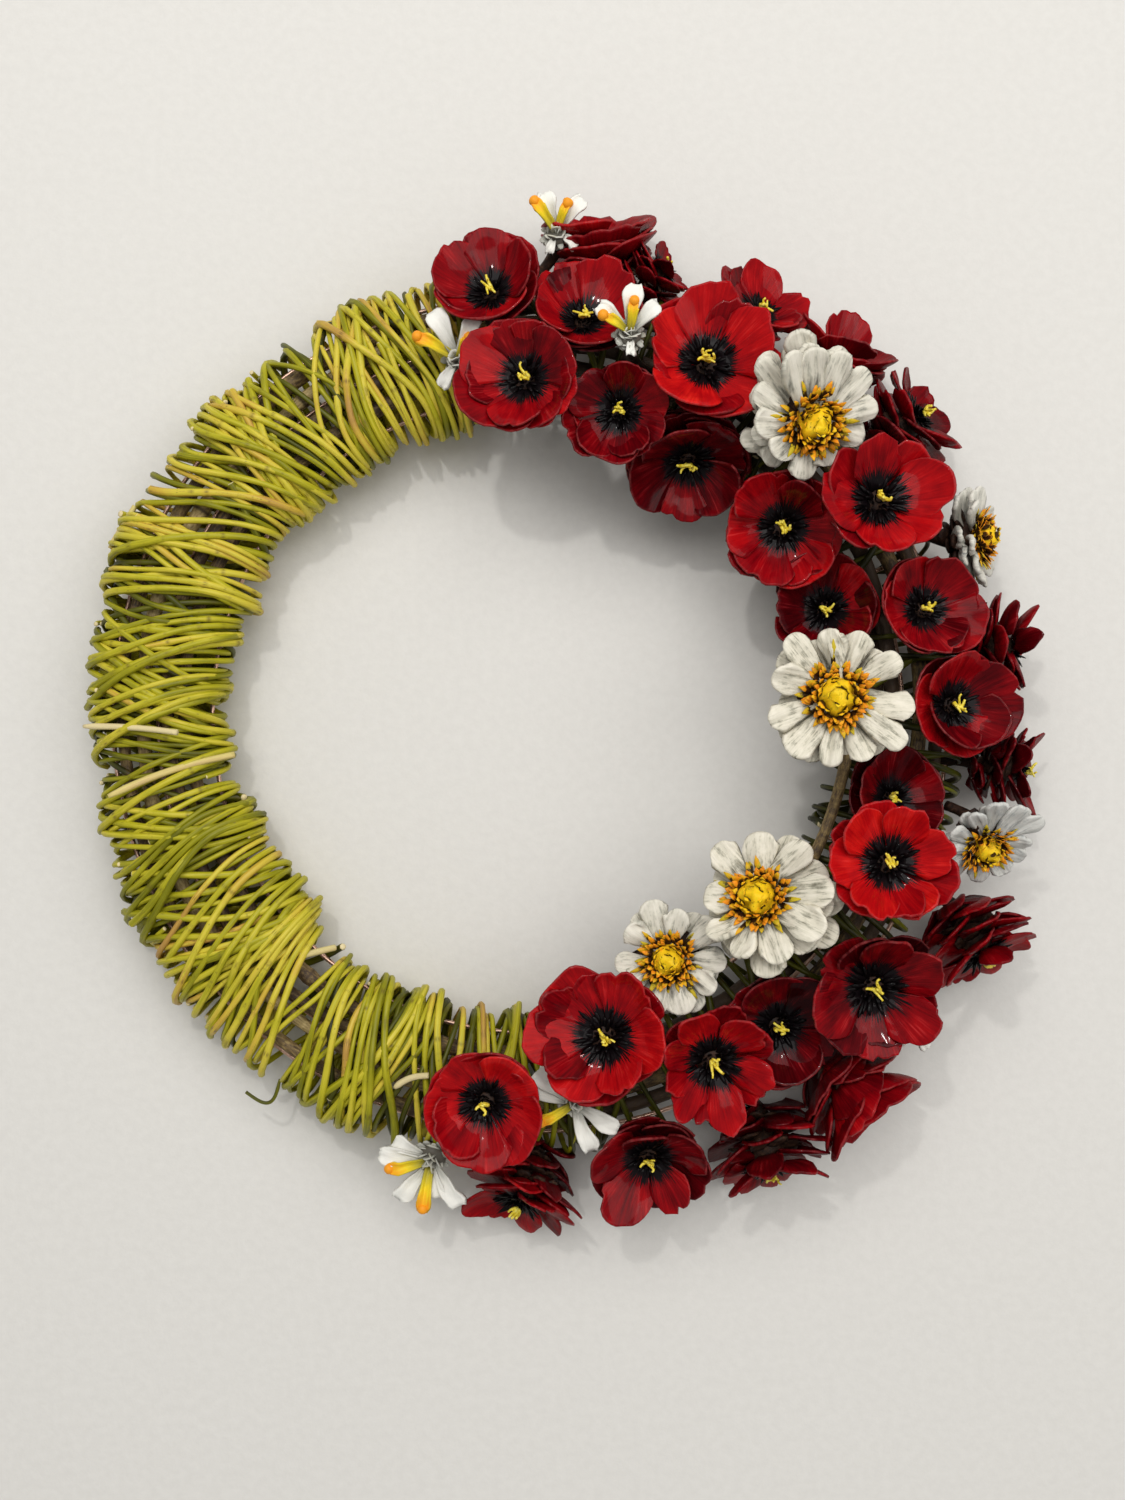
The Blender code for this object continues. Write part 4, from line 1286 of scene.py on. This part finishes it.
def crown_mound(shape, stand, rng, radius, top, low):
    """A rough closed dome in the middle of a daisy."""
    share = np.linspace(0, 1, MOUND_ROWS)
    lump, grain = waves(rng, 5, 7.0), waves(rng, 6, 30.0)
    around = np.arange(MOUND_SIDES) / MOUND_SIDES * TAU
    out = radius * np.sqrt(np.clip(1 - share ** 2.2, 0.004, 1))
    rings = np.stack((out[:, None] * np.cos(around), out[:, None] * np.sin(around),
                      (low + (top - low) * share)[:, None] + 0 * around), -1)
    swell = 1 + 0.10 * lump(rings[..., 0] * 3, rings[..., 1] * 3)
    swell = swell + 0.12 * grain(rings[..., 0] + rings[..., 2], rings[..., 1])
    rings = rings * np.stack((swell, swell, 1 + 0 * swell), -1)
    rings[..., 2] += 0.03 * grain(rings[..., 1], rings[..., 0])
    points = np.concatenate((rings.reshape(-1, 3), rings[:1].mean(1), rings[-1:].mean(1)))
    _, faces = tube(np.zeros((MOUND_ROWS, 3)) + share[:, None], share, (1, 0, 0), MOUND_SIDES)
    colour = np.concatenate((np.repeat(0.40 - 0.34 * share, MOUND_SIDES), (0.4, 0.06)))
    shape.add(stand.put(points, 0.8), faces, 1, tone=colour, mark=0.70)


# %% Build the daisies
# The rings of pointed scales round the middle: how many, how far out, how high, how steep
# and how long each is, and its colour from yellow to olive.
CROWN_RINGS = [(9, 0.10, 0.17, 0.9, 0.07, 0.10), (16, 0.19, 0.08, 0.9, 0.09, 0.26),
               (22, 0.24, 0.0, 0.95, 0.15, 0.44), (26, 0.27, -0.06, 0.8, 0.18, 0.52),
               (24, 0.29, -0.10, 0.6, 0.20, 0.54), (20, 0.30, -0.12, 0.4, 0.22, 0.62),
               (13, 0.31, -0.13, 0.22, 0.25, 0.78), (7, 0.31, -0.13, 0.12, 0.31, 0.92)]


def daisy(number, lean_to, lean, spin, petals, rows, size, tone, slide):
    """One daisy for the node of its number."""
    node = f"white_{number:02d}"
    rng = np.random.default_rng(500 + number)
    stand = Stand(node, lean_to, lean, spin, size, 0.26, slide, LOOKS.get(node))
    shape = Shape()
    wide = math.sin(math.pi / petals) * 0.62
    daisy_row(shape, stand, rng, petals, 0, 1.0, wide, -0.12, 0.0, tone)
    if rows == 3:
        daisy_row(shape, stand, rng, petals, 0.5, 0.97, wide * 1.1, -0.42, -0.34, tone, 0.1)
        daisy_row(shape, stand, rng, petals, 0.1, 0.92, wide * 1.1, -0.72, -0.66, tone, 0.2)
    else:
        daisy_row(shape, stand, rng, petals, 0.5, 0.90, wide * 0.92, -0.32, -0.22, tone, 0.2, 0.4)
    crown_mound(shape, stand, rng, 0.26, 0.21, -0.20)
    for count, out, up, rise, long, colour in CROWN_RINGS:
        ring_of_scales(shape, stand, rng, 1, count, out, up, rise, long, 0.22, colour,
                       rng.random(), 1.0, BLADE, 0.4)
    deep = -0.62 if rows == 2 else -1.0
    cone_back(shape, stand, rng, 2, -0.16, deep)
    stalk(shape, stand, rng, 2, deep + 0.06)
    return shape.build(f"painted_{node}", [white_paint, crown_paint, cone_brown], "white_cone",
                       node)


for number, row in enumerate(DAISIES, 1):
    piece = daisy(number, *row)
print("daisies", number, "faces in the last", len(piece.data.polygons))

# %% [markdown]
# ## Small strap flowers
#
# The small flowers are seed heads that have opened into stiff straps. Each strap is a
# hollow strip that bends outwards and ends in a thick knob. The table gives the compass
# direction of each strap as the camera sees it, its length in mm, how steeply it rises,
# and whether it is a yellow one.

# %% Straps of each small flower
STRAPS = [
    [(124, 26, 0.7, 0), (65, 23, 0.8, 0), (-120, 16, 0.4, 0), (-50, 12, 0.3, 0),
     (155, 23, 0.7, 1), (58, 15, 1.1, 1)],
    [(110, 19, 0.8, 0), (45, 20, 0.7, 0), (-108, 11, 0.3, 0), (-38, 12, 0.3, 0),
     (131, 20, 0.9, 1), (60, 16, 1.0, 1)],
    [(80, 22, 0.8, 0), (140, 19, 0.7, 0), (37, 19, 0.7, 0), (-90, 10, 0.3, 0),
     (157, 17, 0.9, 1), (84, 17, 1.1, 1)],
    [(135, 24, 0.4, 0), (-75, 24, 0.5, 0), (-25, 24, 0.5, 0), (160, 22, 0.3, 0),
     (-150, 20, 0.6, 1)],
    [(150, 20, 0.3, 0), (171, 25, 0.3, 0), (-124, 24, 0.2, 0), (-77, 18, 0.4, 0),
     (-64, 25, 0.3, 0), (188, 22, 0.5, 1), (-98, 24, 0.5, 1)],
    [(-60, 12, 0.4, 0), (100, 10, 0.5, 0), (-130, 11, 0.3, 0), (20, 10, 0.5, 1)],
]
STRAP_STEPS = 14


def strap_shape(rng, long, rise, gold):
    """Front and thickness of one strap along +X, in mm, and how far along it each point lies."""
    side = np.linspace(-1, 1, 9)[None, :]
    share = np.linspace(0, 1, STRAP_STEPS)[:, None]
    knob = np.exp(-((share - 0.9) / 0.10) ** 2)
    broad = 0.085 if gold else 0.17
    width = long * (0.055 + broad * share ** 1.5)
    width = width * np.sqrt(np.clip((1.03 - share) / 0.14, 0.04, 1))
    slope = rise * (1 - 0.6 * share) - rng.uniform(0.3, 0.9) * np.clip((share - 0.7) / 0.3, 0, 1)
    step = long / (STRAP_STEPS - 1)
    out = np.cumsum(np.cos(slope) * step, axis=0) - step
    up = np.cumsum(np.sin(slope) * step, axis=0) - step * math.sin(rise)
    bend, lump = waves(rng, 4, 2.5), waves(rng, 5, 5.0)
    aside = side * width * (1 + 0.12 * lump(share * 3, side)) + 0.06 * long * bend(share, 0) * share
    lift = (0.75 if gold else 0.5) * width * side ** 2 * (1 - knob)
    up = up + 0.4 * lump(share * 4, side * 1.5) * share
    front = np.stack(np.broadcast_arrays(out - lift * 0.3, aside, up + lift), -1)
    thick = (0.8 + 1.6 * knob * (0.8 + 0.3 * lump(side, share))) * np.ones_like(side)
    return front, thick, share * np.ones_like(side)


# %% Build the small flowers
KNOB, KNOB_HALF = 2.5, 2.4


def knob_on(shape, rng, points):
    """A round knob on the end of a yellow strap."""
    lines = points.reshape(STRAP_STEPS, -1, 3)
    end = lines[-2:].mean(axis=(0, 1))
    way = unit(lines[-1].mean(0) - lines[-4].mean(0))
    ball = np.linspace(-1, 1, 9)
    radii = KNOB * np.sqrt(1.02 - ball ** 2) * (1 + 0.08 * waves(rng, 4, 5)(ball, 0))
    ball_points, faces = tube(end + way * KNOB_HALF * ball[:, None], radii, (0.1, 0.2, 1), 10)
    shape.add(ball_points, faces, 0, tone=1, mark=0.98)


def small_flower(number, lean_to, lean, spin, size):
    """One strap flower for the node of its number."""
    node = f"small_{number:02d}"
    rng = np.random.default_rng(700 + number)
    stand = Stand(node, lean_to, lean, spin, size, 0.10)
    shape = Shape()
    base = stand.rim - stand.axis * 0.42 * size
    for compass, long, rise, gold in STRAPS[number - 1]:
        front, thick, share = strap_shape(rng, long, rise, gold)
        points, faces = sheet(front, thick)
        place = np.stack((front[..., 1], front[..., 0], front[..., 2] * 0 + rng.uniform(0, 900)), -1)
        points = points @ np.array(Matrix.Rotation(math.radians(compass), 3, "Z")).T + base
        shape.add(points, faces, 0, tone=gold, mark=both_sides(share, share * 0.7),
                  place=both_sides(place))
        if gold:
            knob_on(shape, rng, points)
    for count, out, up, rise in ((6, 0.04, -0.42, 1.2), (8, 0.08, -0.50, 0.9), (8, 0.10, -0.62, 0.6)):
        ring_of_scales(shape, stand, rng, 0, count, out, up, rise, 0.26, 0.45, 0, rng.random(), 0.4)
    cone_back(shape, stand, rng, 0, -0.34, -0.80, 0.6, 0.32)
    stalk(shape, stand, rng, 1, -0.72)
    return shape.build(f"painted_{node}", [strap_paint, cone_brown], "small_cone", node)


for number, row in enumerate(SMALLS, 1):
    piece = small_flower(number, *row)
print("small flowers", number, "faces in the last", len(piece.data.polygons))

# %% [markdown]
# ## Wall, light and camera
#
# The wreath lies on a plain pale plaster wall, which is the floor here. A large soft
# lamp stands beyond the ring's top, a weaker one to its right and a small one gives the
# wet spots. A pale sky fills the shadows. The camera hangs straight over the ring, a
# little right of and below its middle, as in the photograph.

# %% Plaster wall
WALL = 3.0
wall_mesh = bpy.data.meshes.new("wall")
wall_mesh.from_pydata([(-WALL, -WALL, 0), (WALL, -WALL, 0), (WALL, WALL, 0), (-WALL, WALL, 0)],
                      [], [(0, 1, 2, 3)])
wall = bpy.data.objects.new("wall", wall_mesh)
bpy.context.scene.collection.objects.link(wall)
plaster = Finish("plaster")
roller = plaster.noise(plaster.spot(), 0.22, 4, 0.6)
plaster.use(Base_Color=plaster.ramp(roller, [(0.35, (0.70, 0.685, 0.655)),
                                             (0.65, (0.73, 0.715, 0.685))]),
            Roughness=plaster.span(roller, 0.3, 0.7, 0.75, 0.9))
plaster.bump(roller, 0.25, 0.6)
wall_mesh.materials.append(plaster.material)

# %% Lamps, sky and camera
def lamp(name, place, energy, size, colour):
    """A square soft lamp that faces the ring."""
    data = bpy.data.lights.new(name, "AREA")
    data.energy, data.size, data.color = energy, size, colour
    obj = bpy.data.objects.new(name, data)
    obj.location = place
    obj.rotation_euler = (-Vector(place)).to_track_quat("-Z", "Y").to_euler()
    bpy.context.scene.collection.objects.link(obj)


lamp("soft_main", (-0.15, 1.05, 2.2), 33, 2.0, (1.0, 0.985, 0.96))
lamp("small_spark", (-0.35, 0.85, 1.6), 4.5, 0.07, (1.0, 0.98, 0.95))
lamp("soft_fill", (1.5, 0.4, 2.2), 21, 1.8, (1.0, 0.98, 0.95))
SKY_LIGHT = 0.36
world = bpy.data.worlds.new("pale_sky")
world.use_nodes = True
world.node_tree.nodes["Background"].inputs[0].default_value = (0.97, 0.97, 0.95, 1)
world.node_tree.nodes["Background"].inputs[1].default_value = SKY_LIGHT
bpy.context.scene.world = world
bpy.context.scene.view_settings.view_transform = "Standard"

CAMERA_RIGHT, CAMERA_DOWN, CAMERA_HEIGHT = 15.2, 16.9, 727.0
FOCAL_PIXELS, FRAME_PIXELS, SENSOR = 1489, 1500, 36
camera = bpy.data.cameras.new("camera")
camera.sensor_width = SENSOR
camera.lens = FOCAL_PIXELS / FRAME_PIXELS * SENSOR
camera.clip_start = 0.01
eye = bpy.data.objects.new("camera", camera)
eye.location = (CENTRE + (CAMERA_RIGHT, -CAMERA_DOWN, CAMERA_HEIGHT)) * MM
bpy.context.scene.collection.objects.link(eye)
bpy.context.scene.camera = eye
